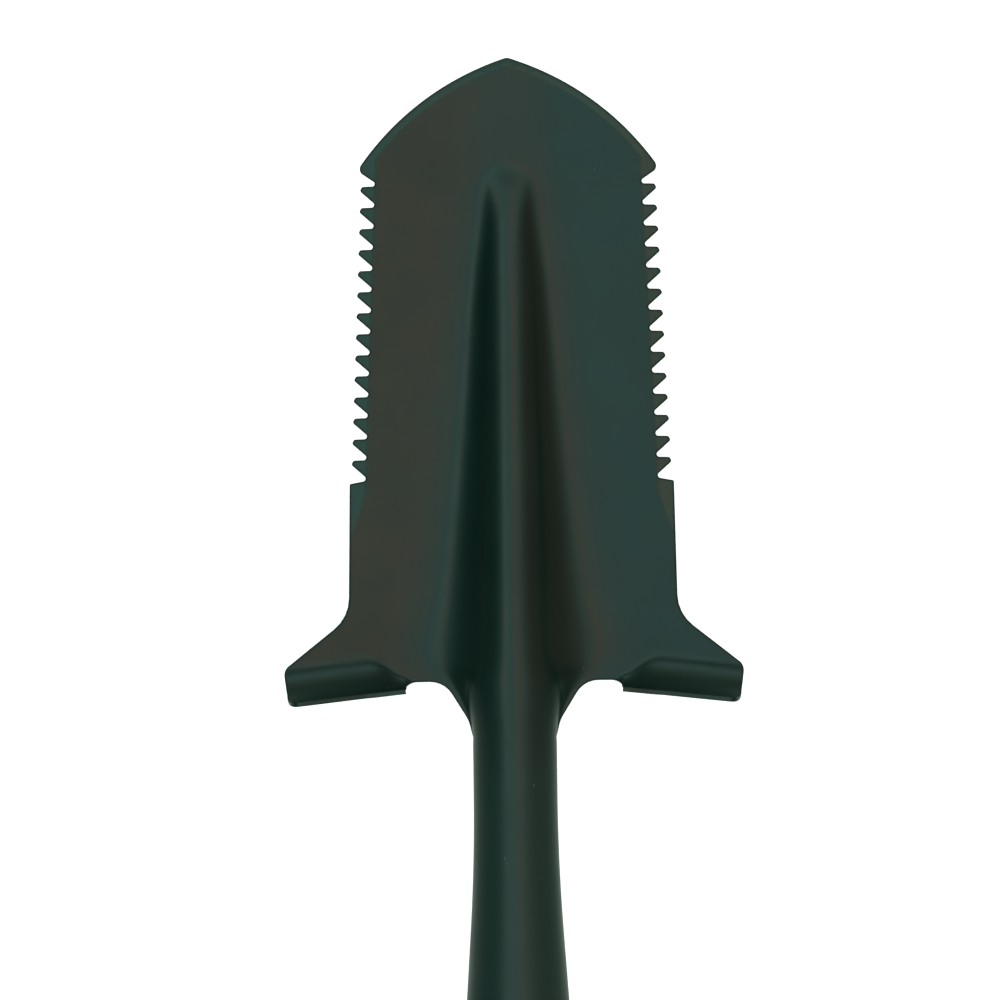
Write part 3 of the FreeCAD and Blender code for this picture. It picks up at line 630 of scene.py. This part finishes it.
def flat_sheet(loop, out):
    """The unrolled head: its points, its triangles and the border's point numbers."""
    lines = bevel_lines()
    from_edge = distance_to(loop)
    from_line = distance_to([point for line in lines for point in line])
    rows = np.arange(1.0, MOUTH_S, GRID_S)
    columns = np.arange(-GRID_COLUMNS, GRID_COLUMNS + 1) * GRID_Q
    grid = np.array([(q + (0.5 * GRID_Q if k % 2 else 0.0), p)
                     for k, p in enumerate(rows) for q in columns])
    grid = [g for g in grid[inside(grid, loop)]
            if from_edge(g) > RIM_BAND + CLEAR_OF_BAND and from_line(g) > CLEAR_OF_BAND]
    band = [b for b in loop - out * RIM_BAND
            if from_edge(b) > RIM_BAND - BAND_FOLD and from_line(b) > BAND_CLEAR_OF_LINE]
    inner = loop - out * EDGE_ROUND
    points = [Vector(p) for p in inner]
    count = len(points)
    edges = [(i, (i + 1) % count) for i in range(count)]
    for line in lines:
        start = len(points)
        points += [Vector(p) for p in line if from_edge(p) > LINE_CLEAR_OF_EDGE]
        edges += [(i, i + 1) for i in range(start, len(points) - 1)]
    points += [Vector(g) for g in grid + band]
    flat, _, triangles, origins, _, _ = delaunay_2d_cdt(points, edges, [], 0, 1e-6)
    flat = np.array([tuple(v) for v in flat])
    triangles = np.array(triangles)
    triangles = triangles[inside(flat[triangles].mean(axis=1), inner)]
    new_number = {old: new for new, group in enumerate(origins) for old in group}
    return flat, triangles, [new_number[i] for i in range(count)]


def edge_rings(loop, out):
    """Points and normals round the sheet's rounded edge, from its front to its back."""
    drop = ground_depth(*loop.T)
    normal = facing(skin, *loop.T, BEND_STEP)
    shift = out * BEND_STEP / 2
    lateral = skin(*(loop + shift).T) - skin(*(loop - shift).T)
    lateral = unit(lateral - normal * np.sum(lateral * normal, axis=-1, keepdims=True))
    turns = [(1, 1 - k / EDGE_STEPS) for k in range(1, EDGE_STEPS + 1)]
    turns += [(-1, k / EDGE_STEPS) for k in range(EDGE_STEPS)]
    rings = []
    for side, share in turns:
        turn = math.pi / 2 * share
        sink = EDGE_ROUND * (1 - math.sin(turn))
        depth = drop + sink if side > 0 else np.full(len(loop), SHEET - sink)
        spot = loop - out * EDGE_ROUND * (1 - math.cos(turn))
        ring = skin(*spot.T) - normal * depth[:, None]
        rings.append((ring, lateral * math.cos(turn) + side * normal * math.sin(turn)))
    return rings


def sheet_faces(top, top_normal, triangles, border, loop, ring_count):
    """Faces of the closed sheet: front, back and the strips round its edge."""
    size, count = len(top), len(loop)
    faces = [tuple(t) for t in triangles]
    faces += [(t[2] + size, t[1] + size, t[0] + size) for t in triangles]
    a, b, c = top[triangles[0]]
    if np.cross(b - a, c - a) @ top_normal[triangles[0][0]] < 0:
        faces = [face[::-1] for face in faces]
    starts = [2 * size + i * count for i in range(ring_count)]
    chains = [border] + [list(range(start, start + count)) for start in starts]
    chains.append([i + size for i in border])
    flip = signed_area(loop) > 0
    for above, below in zip(chains, chains[1:]):
        for i in range(count):
            j = (i + 1) % count
            quad = (above[i], below[i], below[j], above[j])
            faces.append(quad[::-1] if flip else quad)
    return faces


def sheet_mesh(name):
    """The whole pressed head as one closed sheet with rounded edges."""
    loop = sheet_outline()
    out = outward(loop)
    flat, triangles, border = flat_sheet(loop, out)
    rings = edge_rings(loop, out)
    q, p = flat.T
    size, count = len(flat), len(loop)
    normal = facing(skin, q, p, BEND_STEP)
    top, top_normal = front(q, p), facing(front, q, p, GROUND_STEP)
    verts = np.concatenate([top, skin(q, p) - normal * SHEET] + [ring for ring, _ in rings])
    normals = np.concatenate([top_normal, -normal] + [turned_out for _, turned_out in rings])
    faces = sheet_faces(top, top_normal, triangles, border, loop, len(rings))
    mesh = bpy.data.meshes.new(name)
    mesh.from_pydata(to_frame(verts[:, 0], -verts[:, 1], verts[:, 2]).tolist(), [], faces)
    mesh.polygons.foreach_set("use_smooth", [True] * len(mesh.polygons))
    mesh.normals_split_custom_set_from_vertices(unit(normals).tolist())
    drop = ground_depth(*loop.T)
    ground = np.concatenate([ground_depth(q, p), np.zeros(size)] + [drop] * len(rings))
    # The rim values carry a painted shade along the sheet's rounded edge.
    rim = np.zeros(len(verts))
    rim[border] = RIM_SHADE_INSIDE
    rim[2 * size:2 * size + count * (EDGE_STEPS - 1)] = 1.0
    for layer_name, values in (("ground", ground), ("rim", rim)):
        layer = mesh.attributes.new(layer_name, "FLOAT", "POINT")
        layer.data.foreach_set("value", values.astype(np.float32))
    return mesh


# ---- turned pieces ----
def along_shaft(radius, along, angle):
    """Point of a piece turned about the shaft's axis; along is a station."""
    return radius * math.sin(angle), along, radius * math.cos(angle)


def across_at(station):
    """Points of a piece turned about a line across the shovel; along is a half width."""

    def point(radius, along, angle):
        return along, station + radius * math.cos(angle), radius * math.sin(angle)

    return point


def hexagon_reach(apothem, angle):
    """Distance from the middle of a hexagon to its side."""
    sixth = math.pi / 3
    return apothem / math.cos(angle % sixth - sixth / 2)


def turned(profile, point_at, closed=False, steps=96):
    """Vertices and faces of a body turned from rows of radius and place along the axis.

    A third number in a row is the apothem of the hexagon that cuts the row's circle.
    """
    verts, rows, faces = [], [], []
    for radius, along, *apothem in profile:
        if radius == 0:
            rows.append([len(verts)] * steps)
            verts.append(point_at(0.0, along, 0.0))
            continue
        rows.append(list(range(len(verts), len(verts) + steps)))
        for k in range(steps):
            angle = 2 * math.pi * k / steps
            reach = min(radius, hexagon_reach(apothem[0], angle)) if apothem else radius
            verts.append(point_at(reach, along, angle))
    pairs = list(zip(rows, rows[1:]))
    if closed:
        pairs.append((rows[-1], rows[0]))
    for above, below in pairs:
        for k in range(steps):
            j = (k + 1) % steps
            corners = [above[k], below[k], below[j], above[j]]
            face = tuple(c for i, c in enumerate(corners) if c != corners[i - 1])
            if len(face) > 2:
                faces.append(face)
    return verts, faces


def merged(name, bodies, sharp=32.0):
    """One mesh out of several (vertices, faces) bodies in millimetres."""
    verts, faces = [], []
    for body_verts, body_faces in bodies:
        start = len(verts)
        verts += body_verts
        faces += [tuple(i + start for i in face) for face in body_faces]
    verts = np.array(verts, float)
    mesh = bpy.data.meshes.new(name)
    mesh.from_pydata(to_frame(verts[:, 0], verts[:, 1], verts[:, 2]).tolist(), [], faces)
    soften = bmesh.new()
    soften.from_mesh(mesh)
    bmesh.ops.recalc_face_normals(soften, faces=soften.faces)
    soften.to_mesh(mesh)
    soften.free()
    mesh.polygons.foreach_set("use_smooth", [True] * len(mesh.polygons))
    mesh.set_sharp_from_angle(angle=math.radians(sharp))
    return mesh


def arc_rows(centre, radius, start, end, count):
    """Rows on a rounded corner, by angle in degrees; 0 points out and 90 points along."""
    rows = []
    for i in range(count + 1):
        turn = math.radians(start + (end - start) * i / count)
        rows.append((centre[0] + radius * math.cos(turn), centre[1] + radius * math.sin(turn)))
    return rows


def dome_rows(seat, radius, height, way, count=10):
    """Rows of a domed head from its rim at the seat to its crown."""
    ball = (radius ** 2 + height ** 2) / (2 * height)
    swing = math.asin(radius / ball)
    rows = []
    for i in range(count + 1):
        turn = swing * (1 - i / count)
        rise = ball * math.cos(turn) - (ball - height)
        rows.append((ball * math.sin(turn) if i < count else 0.0, seat + way * rise))
    return rows


def shaft_mesh():
    """Shaft from its nose in the socket to its rounded top end."""
    radius, top = SHAFT_RADIUS - SLACK, SHAFT_TOP_S - SHAFT_END_ROUND
    rows = [(0.0, SHAFT_NOSE_S)]
    for s in np.linspace(SHAFT_NOSE_S, MOUTH_S, 30):
        rows.append((float(socket_radius(s)) - SHEET - SLACK, float(s)))
    for s in np.linspace(MOUTH_S + 1.0, top, 40):
        rows.append((radius, float(s)))
    rows += arc_rows((radius - SHAFT_END_ROUND, top), SHAFT_END_ROUND, 10, 90, 6)
    rows.append((0.0, SHAFT_TOP_S))
    return merged("ash_shaft", [turned(rows, along_shaft, steps=128)])


def rivet_body(station, seat):
    """Rivet across the shovel: its head on the right and the smaller set end on the left."""
    set_seat = -seat - RIVET_WASHER
    rows = dome_rows(set_seat, RIVET_HEAD * RIVET_SET[0], RIVET_RISE * RIVET_SET[1], -1)[::-1]
    rows += [(RIVET_SHANK, set_seat), (RIVET_SHANK, seat), (RIVET_HEAD, seat - RIVET_RIM)]
    rows += dome_rows(seat, RIVET_HEAD, RIVET_RISE, 1)
    return turned(rows, across_at(station), steps=48)


def ring_body(station, inner, outer, start, end, soft=0.2):
    """Washer across the shovel with softened rims."""
    rows = [(inner, start), (outer - soft, start), (outer, start + soft),
            (outer, end - soft), (outer - soft, end), (inner, end)]
    return turned(rows, across_at(station), closed=True, steps=64)


def grip_mesh():
    """Moulded grip with collars at its ends and grooves round it."""
    rim, rounding = GRIP_COLLAR - SLACK - GRIP_COLLAR_ROUND, GRIP_COLLAR_ROUND
    shoulder = GRIP_COLLAR_LENGTH - GRIP_HALF
    rows = [(TUBE_RADIUS + SLACK, -GRIP_HALF), (rim, -GRIP_HALF)]
    rows += arc_rows((rim, -GRIP_HALF + rounding), rounding, -80, 0, 5)
    rows += arc_rows((rim, shoulder - rounding), rounding, 0, 80, 5)
    rows += [(GRIP_RADIUS + over, shoulder + past) for over, past in GRIP_FILLET]
    end_rows = len(rows) - 1
    for i in range(GRIP_GROOVES):
        middle = (i - (GRIP_GROOVES - 1) / 2) * GRIP_GROOVE_PITCH
        for u in np.linspace(-GRIP_GROOVE_REACH, GRIP_GROOVE_REACH, GRIP_GROOVE_ROWS):
            depth = GRIP_GROOVE_DEPTH * math.exp(-(u * GRIP_GROOVE_STEEPNESS) ** 4)
            rows.append((GRIP_RADIUS - depth, middle + u * GRIP_GROOVE_WIDTH / 2))
    rows += [(radius, -along) for radius, along in rows[:end_rows][::-1]]
    return merged("moulded_grip", [turned(rows, across_at(GRIP_AXIS_S), closed=True)], 50.0)


def bolt_mesh():
    """Domed bolt head with a hexagon socket, and its shank."""
    seat, end = ARM_OUTER_X + GRIP_WASHER, -ARM_OUTER_X - GRIP_WASHER - BOLT_PAST_ARM
    rows = [(0.0, end), (BOLT_RADIUS, end), (BOLT_RADIUS, seat)]
    rows += [(BOLT_HEAD, seat), (BOLT_HEAD, seat + BOLT_RIM)]
    dome = dome_rows(seat + BOLT_RIM, BOLT_HEAD, BOLT_RISE - BOLT_RIM, 1)
    rows += dome[1:8]
    top = rows[-1][1]
    rim_radius, rim_rise = KEY_RIM
    rows += [(rim_radius, top + rim_rise),
             (KEY_BEYOND, top + rim_rise, KEY_APOTHEM + KEY_CHAMFER),
             (KEY_BEYOND, top, KEY_APOTHEM),
             (KEY_BEYOND, top - KEY_DEPTH, KEY_APOTHEM),
             (0.0, top - KEY_DEPTH - KEY_POINT)]
    return merged("grip_bolt_round_head", [turned(rows, across_at(GRIP_AXIS_S))])


def nut_mesh():
    """Domed nut on the left end of the bolt."""
    seat = -ARM_OUTER_X - GRIP_WASHER
    dome_seat = seat - NUT_HEX
    corner = NUT_APOTHEM / math.cos(math.pi / 6)
    rows = [(BOLT_RADIUS + SLACK, seat), (NUT_APOTHEM, seat)]
    rows += [(corner - inward, seat - away, NUT_APOTHEM) for inward, away in NUT_CHAMFER]
    rows += [(corner - inward, dome_seat + away, NUT_APOTHEM) for inward, away in NUT_SHOULDER]
    rows.append((NUT_APOTHEM - NUT_TOP_INSET, dome_seat))
    rows += dome_rows(dome_seat, NUT_DOME, NUT_DOME * NUT_DOME_SHARE, -1)
    return merged("grip_nut_domed", [turned(rows, across_at(GRIP_AXIS_S))])


def weld_row(s):
    """Points across the weld bead, which wanders and ripples from station to station."""
    from_end = min(s - WELD_START_S, WELD_END_S - s)
    taper = math.sqrt(min(1.0, (from_end + 0.02) / WELD_END_LENGTH))
    wander = 0.12 * math.sin(s * 0.31) + 0.08 * math.sin(s * 0.83)
    half = WELD_WIDTH / 2 * taper * (1 + 0.05 * math.sin(s * 1.7))
    base = float(socket_radius(s)) - WELD_SINK
    row = []
    for u in np.linspace(-1.0, 1.0, WELD_ACROSS + 1):
        ripple = 0.5 + 0.5 * math.cos(2 * math.pi * (s + WELD_LAG * u * u) / WELD_PITCH)
        rise = WELD_RISE * taper * (1 - abs(u) ** 2.4) * (0.72 + 0.28 * ripple ** 0.6)
        row.append((wander + half * u, s, -(base + WELD_SINK * (1 - abs(u) ** 6) + rise)))
    row.append((wander, s, -base + WELD_ROOT))
    return row


def weld_mesh():
    """Rippled bead along the seam at the back of the socket."""
    count = int((WELD_END_S - WELD_START_S) / WELD_ROW)
    verts, faces = [], []
    for i in range(count + 1):
        verts += weld_row(WELD_START_S + (WELD_END_S - WELD_START_S) * i / count)
    width = WELD_ACROSS + 2
    for i in range(count):
        for k in range(width):
            j = (k + 1) % width
            row = i * width
            faces.append((row + k, row + j, row + width + j, row + width + k))
    faces.append(tuple(range(width)))
    faces.append(tuple(range(count * width, (count + 1) * width))[::-1])
    return merged("seam_weld_bead", [(verts, faces)], 60.0)


# ---- materials ----
class Wiring:
    """The nodes of a material or of the surroundings."""

    def __init__(self, tree):
        self.nodes, self.links = tree.nodes, tree.links

    def feed(self, socket, value):
        """Gives an input a value or another node's output."""
        if isinstance(value, bpy.types.NodeSocket):
            self.links.new(value, socket)
        else:
            socket.default_value = value

    def fill(self, node, inputs):
        """Feeds a node's inputs by name, where _ stands for a space."""
        for name, value in inputs.items():
            self.feed(node.inputs[name.replace("_", " ")], value)
        return node

    def node(self, kind, **inputs):
        """A new node with some of its inputs fed."""
        return self.fill(self.nodes.new("ShaderNode" + kind), inputs)


class Paint(Wiring):
    """A material that is put together step by step. Its colours are linear."""

    def __init__(self, name, roughness, metallic=0.0):
        self.material = bpy.data.materials.new(name)
        self.material.use_nodes = True
        super().__init__(self.material.node_tree)
        self.shader = self.nodes["Principled BSDF"]
        self.set(Roughness=roughness, IOR=1.5, Metallic=metallic)
        self.place = self.node("TexCoord").outputs["Object"]
        self.bumped = None

    def set(self, **inputs):
        """Feeds the shader."""
        self.fill(self.shader, inputs)

    def stretched(self, scale, turn=(0.0, 0.0, 0.0), shift=(0.0, 0.0, 0.0)):
        """The place on the piece, scaled, turned and shifted."""
        node = self.node("Mapping", Vector=self.place, Scale=scale, Rotation=turn, Location=shift)
        return node.outputs["Vector"]

    def noise(self, scale, detail=2.0, roughness=0.5, distortion=0.0, vector=None):
        """Soft random values about a half."""
        node = self.node("TexNoise", Vector=vector or self.place, Scale=scale, Detail=detail,
                         Roughness=roughness, Distortion=distortion)
        return node.outputs["Fac"]

    def ramp(self, value, start, end, low=0.0, high=1.0):
        """Carries a value from start..end to low..high, held at both ends."""
        node = self.node("MapRange", Value=value, From_Min=start, From_Max=end,
                         To_Min=low, To_Max=high)
        return node.outputs["Result"]

    def math(self, kind, first, second):
        """A sum, product or comparison of two values."""
        node = self.node("Math")
        node.operation = kind
        self.feed(node.inputs[0], first)
        self.feed(node.inputs[1], second)
        return node.outputs[0]

    def blend(self, share, first, second):
        """Colour between the first, at a share of 0, and the second, at 1."""
        node = self.node("Mix")
        node.data_type = "RGBA"
        self.feed(node.inputs["Factor"], share)
        for socket, colour in ((node.inputs["A"], first), (node.inputs["B"], second)):
            self.feed(socket, (*colour, 1.0) if isinstance(colour, tuple) else colour)
        return node.outputs["Result"]

    def distance(self, vector, point):
        """How far a place is from a fixed point."""
        node = self.node("VectorMath")
        node.operation = "DISTANCE"
        self.feed(node.inputs[0], vector)
        self.feed(node.inputs[1], point)
        return node.outputs["Value"]

    def bump(self, height, depth, strength):
        """Adds a relief of a depth in metres over what is there."""
        node = self.node("Bump", Strength=strength, Distance=depth, Height=height)
        if self.bumped:
            self.feed(node.inputs["Normal"], self.bumped)
        self.bumped = node.outputs["Normal"]
        self.set(Normal=self.bumped)

    def attribute(self, name):
        """A value that the mesh carries at its points."""
        node = self.node("Attribute")
        node.attribute_name = name
        return node.outputs["Fac"]

    def specks(self, scale, share, size):
        """Scattered small spots: 1 in a spot and 0 outside."""
        node = self.node("TexVoronoi", Scale=scale, Vector=self.place)
        parts = self.node("SeparateColor", Color=node.outputs["Color"])
        chosen = self.math("GREATER_THAN", parts.outputs["Red"], 1.0 - share)
        reach = self.math("MULTIPLY", parts.outputs["Green"], size)
        in_spot = self.math("LESS_THAN", node.outputs["Distance"], reach)
        return self.math("MULTIPLY", chosen, in_spot)


def coat_material(name, chips=(), edges=False):
    """Dark green powder coat: fine orange peel, soft waves, dust specks, chips, worn ground edges
    painted paler as wear and as a painted highlight, and painted shade along the rim.
    """
    paint = Paint(name, COAT_ROUGHNESS[1])
    lengthways = paint.node("SeparateXYZ", Vector=paint.place).outputs["Y"]
    rough = paint.ramp(paint.noise(60.0, 4.0, 0.6), 0.3, 0.7, *COAT_ROUGHNESS)
    rough = paint.math("ADD", rough, paint.ramp(lengthways, *SOCKET_DULLER))
    clouds = paint.ramp(paint.noise(26.0, 4.0, 0.6, 0.4), 0.32, 0.68)
    colour = paint.blend(clouds, COAT_DARK, COAT_LIGHT)
    if edges:
        uneven = paint.ramp(paint.noise(300.0, 4.0, 0.65), 0.3, 0.7, 0.7, 1.0)
        # Paler coat on the ground bevels, partly wear and partly a painted highlight.
        worn_and_highlight = paint.ramp(paint.attribute("ground"), *GROUND_SHOWS)
        colour = paint.blend(paint.math("MULTIPLY", worn_and_highlight, uneven), colour, COAT_WORN_AND_HIGHLIGHT)
        # Painted shade: near black and a little duller along the sheet's rounded edge.
        rim = paint.attribute("rim")
        colour = paint.blend(rim, colour, COAT_RIM_SHADE)
        rough = paint.math("ADD", rough, paint.math("MULTIPLY", rim, RIM_DULLER))
    on_socket = paint.ramp(lengthways, *SOCKET_DULLER[:2])
    colour = paint.blend(on_socket, colour, COAT_SOCKET)
    colour = paint.blend(paint.specks(230.0, 0.035, 0.085), colour, COAT_DUST)
    ragged = paint.math("MULTIPLY", paint.noise(2600.0, 3.0, 0.75), 0.0012)
    drawn_out = paint.stretched((1.0, CHIP_STRETCH, 1.0))
    inner, outer = CHIP_EDGE
    for x, station, height, reach in chips:
        middle = (x * MM, (HALF_LENGTH - station) * MM * CHIP_STRETCH, (FACE_Z + height) * MM)
        mark = paint.math("ADD", paint.distance(drawn_out, middle), ragged)
        mark = paint.ramp(mark, (reach + outer) * MM, (reach + inner) * MM, 0.0, 0.7)
        colour = paint.blend(mark, colour, COAT_CHIP)
    paint.set(Base_Color=colour, Roughness=rough)
    paint.bump(paint.noise(38.0, 2.0), 0.0004, 0.35)
    paint.bump(paint.noise(950.0, 2.0), 0.00003, 0.35)
    return paint.material


def wood_material():
    """Varnished ash: growth rings about a middle beside the shaft, pores and slight stains."""
    paint = Paint("varnished_ash", 0.4)
    lengthways = paint.stretched((1.0, 0.035, 1.0), (0.02, 0.0, 0.03), (0.046, 0.0, 0.03))
    node = paint.node("TexWave", Vector=lengthways, Scale=60.0, Distortion=2.2, Detail=3.0,
                      Detail_Scale=0.8)
    node.wave_type = "RINGS"
    node.rings_direction = "Y"
    rings = paint.ramp(node.outputs["Fac"], 0.35, 1.0)
    colour = paint.blend(rings, (0.560, 0.360, 0.180), (0.360, 0.205, 0.090))
    broad = paint.noise(22.0, 3.0, 0.6, vector=paint.stretched((1.0, 0.12, 1.0)))
    colour = paint.blend(paint.ramp(broad, 0.35, 0.7, 0.0, 0.4), colour, (0.440, 0.285, 0.145))
    pores = paint.noise(1400.0, 3.0, 0.7, vector=paint.stretched((1.0, 0.03, 1.0)))
    dark = paint.ramp(pores, 0.56, 0.68, 0.0, 0.55)
    colour = paint.blend(dark, colour, (0.200, 0.115, 0.050))
    paint.set(Base_Color=colour, Roughness=paint.ramp(broad, 0.3, 0.7, 0.34, 0.46),
              Coat_Weight=0.35, Coat_Roughness=0.22)
    paint.bump(dark, 0.00008, 0.5)
    return paint.material


def zinc_material():
    """Zinc plate: uneven grey with a fine grain and dull spots."""
    paint = Paint("zinc_plate", 0.36, metallic=1.0)
    clouds = paint.ramp(paint.noise(210.0, 4.0, 0.6), 0.3, 0.7)
    colour = paint.blend(clouds, (0.50, 0.52, 0.54), (0.63, 0.62, 0.59))
    colour = paint.blend(paint.specks(900.0, 0.1, 0.3), colour, (0.30, 0.30, 0.29))
    rough = paint.ramp(paint.noise(700.0, 3.0), 0.3, 0.7, 0.26, 0.44)
    paint.set(Base_Color=colour, Roughness=rough)
    paint.bump(paint.noise(2600.0, 2.0), 0.00002, 0.5)
    return paint.material


def moulded_material(name, dark, light, roughness, grain):
    """Moulded plastic or rubber with a fine grain and a little rubbed dust."""
    paint = Paint(name, roughness)
    clouds = paint.ramp(paint.noise(70.0, 5.0, 0.65), 0.35, 0.7)
    rough = paint.ramp(clouds, 0.0, 1.0, roughness - 0.06, roughness + 0.08)
    paint.set(Base_Color=paint.blend(clouds, dark, light), Roughness=rough)
    paint.bump(paint.noise(grain, 3.0, 0.6), 0.00005, 0.6)
    return paint.material


# ---- pieces ----
def add_piece(mesh, material, node):
    """Puts a piece in the scene under its mesh's name, in the place of a CAD node."""
    piece = placed(mesh.name, mesh)
    mesh.materials.append(material)
    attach(piece, "root")
    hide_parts(node)


def paint_node(name, material):
    """Gives a CAD node its material."""
    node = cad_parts[name]
    node.data.materials.clear()
    node.data.materials.append(material)


def rivet_meshes(name, stations, radius_at):
    """Rivets and washers at some stations on a round skin."""
    rivets, washers = [], []
    for s in stations:
        seat = float(radius_at(s)) - RIVET_SINK
        rivets.append(rivet_body(s, seat))
        washers.append(ring_body(s, RIVET_SHANK, RIVET_WASHER_RADIUS, -seat - RIVET_WASHER, -seat))
    return merged(name + "_rivets", rivets), merged(name + "_washers", washers)


def grip_washer_mesh():
    """Washers under the bolt's head and under its nut."""
    rings = []
    for start in (-ARM_OUTER_X - GRIP_WASHER, ARM_OUTER_X):
        rings.append(ring_body(GRIP_AXIS_S, BOLT_RADIUS, GRIP_WASHER_RADIUS,
                               start, start + GRIP_WASHER, 0.25))
    return merged("grip_bolt_washers", rings)


def make_pieces():
    """Every piece with its material and the CAD node that it stands for."""
    head_coat = coat_material("green_coat_head", HEAD_CHIPS, edges=True)
    coat = coat_material("green_coat")
    zinc = zinc_material()
    wood = wood_material()
    rubber = moulded_material("black_rubber", (0.013, 0.013, 0.014), (0.024, 0.024, 0.025),
                              0.58, 1500.0)
    nylon = moulded_material("black_nylon", (0.018, 0.018, 0.019), (0.028, 0.028, 0.029),
                             0.46, 2400.0)
    add_piece(sheet_mesh("pressed_head"), head_coat, "blade")
    add_piece(weld_mesh(), coat, "socket_seam_weld")
    add_piece(shaft_mesh(), wood, "shaft")
    add_piece(grip_mesh(), rubber, "hand_grip")
    for part, stations, radius_at in (("socket", SOCKET_RIVETS_S, socket_radius),
                                      ("yoke", YOKE_RIVETS_S, lambda _: FERRULE_RADIUS)):
        rivets, washers = rivet_meshes("domed_" + part, stations, radius_at)
        add_piece(rivets, zinc, part + "_rivets")
        add_piece(washers, zinc, part + "_rivet_washers")
    add_piece(bolt_mesh(), zinc, "grip_bolt")
    add_piece(nut_mesh(), zinc, "grip_nut")
    add_piece(grip_washer_mesh(), zinc, "grip_washers")
    paint_node("yoke_right", coat)
    paint_node("yoke_left", coat)
    paint_node("grip_tube", zinc)
    paint_node("grip_tube_plugs", nylon)


# ---- floor, light, camera ----
def make_floor():
    """Plain white floor that glows a little, so that it stays even."""
    mesh = bpy.data.meshes.new("floor")
    far = FLOOR_REACH
    corners = [(-far, -far, 0), (far, -far, 0), (far, far, 0), (-far, far, 0)]
    mesh.from_pydata(corners, [], [(0, 1, 2, 3)])
    floor = placed("floor", mesh)
    paint = Paint("pale_floor", 0.9)
    paint.set(Base_Color=(0.85, 0.85, 0.85, 1), Emission_Color=(1, 1, 1, 1),
              Emission_Strength=0.95)
    mesh.materials.append(paint.material)
    floor.visible_glossy = False


def soft_box(name, across, along, width, length, strength, tint):
    """Rectangular soft light that faces the head from a tilt across and along, in degrees."""
    aim = Vector(LIGHT_AIM)
    facing_out = Vector((math.tan(math.radians(across)), math.tan(math.radians(along)), 1.0))
    facing_out.normalize()
    data = bpy.data.lights.new(name, "AREA")
    data.shape = "RECTANGLE"
    data.size = 2 * LIGHT_REACH * math.tan(math.radians(width / 2))
    data.size_y = 2 * LIGHT_REACH * math.tan(math.radians(length / 2))
    data.energy = strength * math.pi * data.size * data.size_y
    data.color = tint
    light = placed(name, data)
    lengthways = Vector((0.0, 1.0, 0.0))
    lengthways -= facing_out * facing_out.y
    lengthways.normalize()
    turn = Matrix((lengthways.cross(facing_out), lengthways, facing_out)).transposed()
    light.matrix_world = Matrix.LocRotScale(aim + facing_out * LIGHT_REACH, turn, None)
    light.visible_camera = False


def make_world():
    """Dim green surroundings for the light and the reflections, and a pale backdrop."""
    world = bpy.data.worlds.new("studio")
    bpy.context.scene.world = world
    world.use_nodes = True
    wiring = Wiring(world.node_tree)
    direction = wiring.node("TexCoord").outputs["Generated"]
    rise = wiring.node("SeparateXYZ", Vector=direction).outputs["Z"]
    height = wiring.node("MapRange", Value=rise, From_Min=-1.0, From_Max=1.0)
    shade = wiring.node("ValToRGB", Fac=height.outputs["Result"])
    stops = shade.color_ramp.elements
    while len(stops) < len(SKY):
        stops.new(0.5)
    for stop, (sine, colour) in zip(stops, SKY):
        stop.position = (sine + 1) / 2
        stop.color = (*colour, 1)
    lit = wiring.fill(wiring.nodes["Background"], {"Color": shade.outputs["Color"]})
    seen = wiring.node("Background", Color=(*BACKDROP, 1))
    rays = wiring.node("LightPath")
    chosen = wiring.node("MixShader", Fac=rays.outputs["Is Camera Ray"])
    wiring.feed(chosen.inputs[1], lit.outputs[0])
    wiring.feed(chosen.inputs[2], seen.outputs[0])
    wiring.fill(wiring.nodes["World Output"], {"Surface": chosen.outputs[0]})


def make_camera():
    """Long lens far above the head, so that it is seen without much perspective."""
    data = bpy.data.cameras.new("camera")
    data.sensor_width = SENSOR
    data.lens = SENSOR * CAMERA_HEIGHT / VIEW_WIDTH
    camera = placed("camera", data)
    camera.location = (*VIEW_MIDDLE, FACE_Z * MM + CAMERA_HEIGHT)
    camera.rotation_euler = (0.0, 0.0, math.radians(VIEW_TURN))
    bpy.context.scene.camera = camera
    bpy.context.scene.view_settings.view_transform = "Standard"


make_pieces()
make_floor()
for box in SOFT_BOXES:
    soft_box(*box)
make_world()
make_camera()
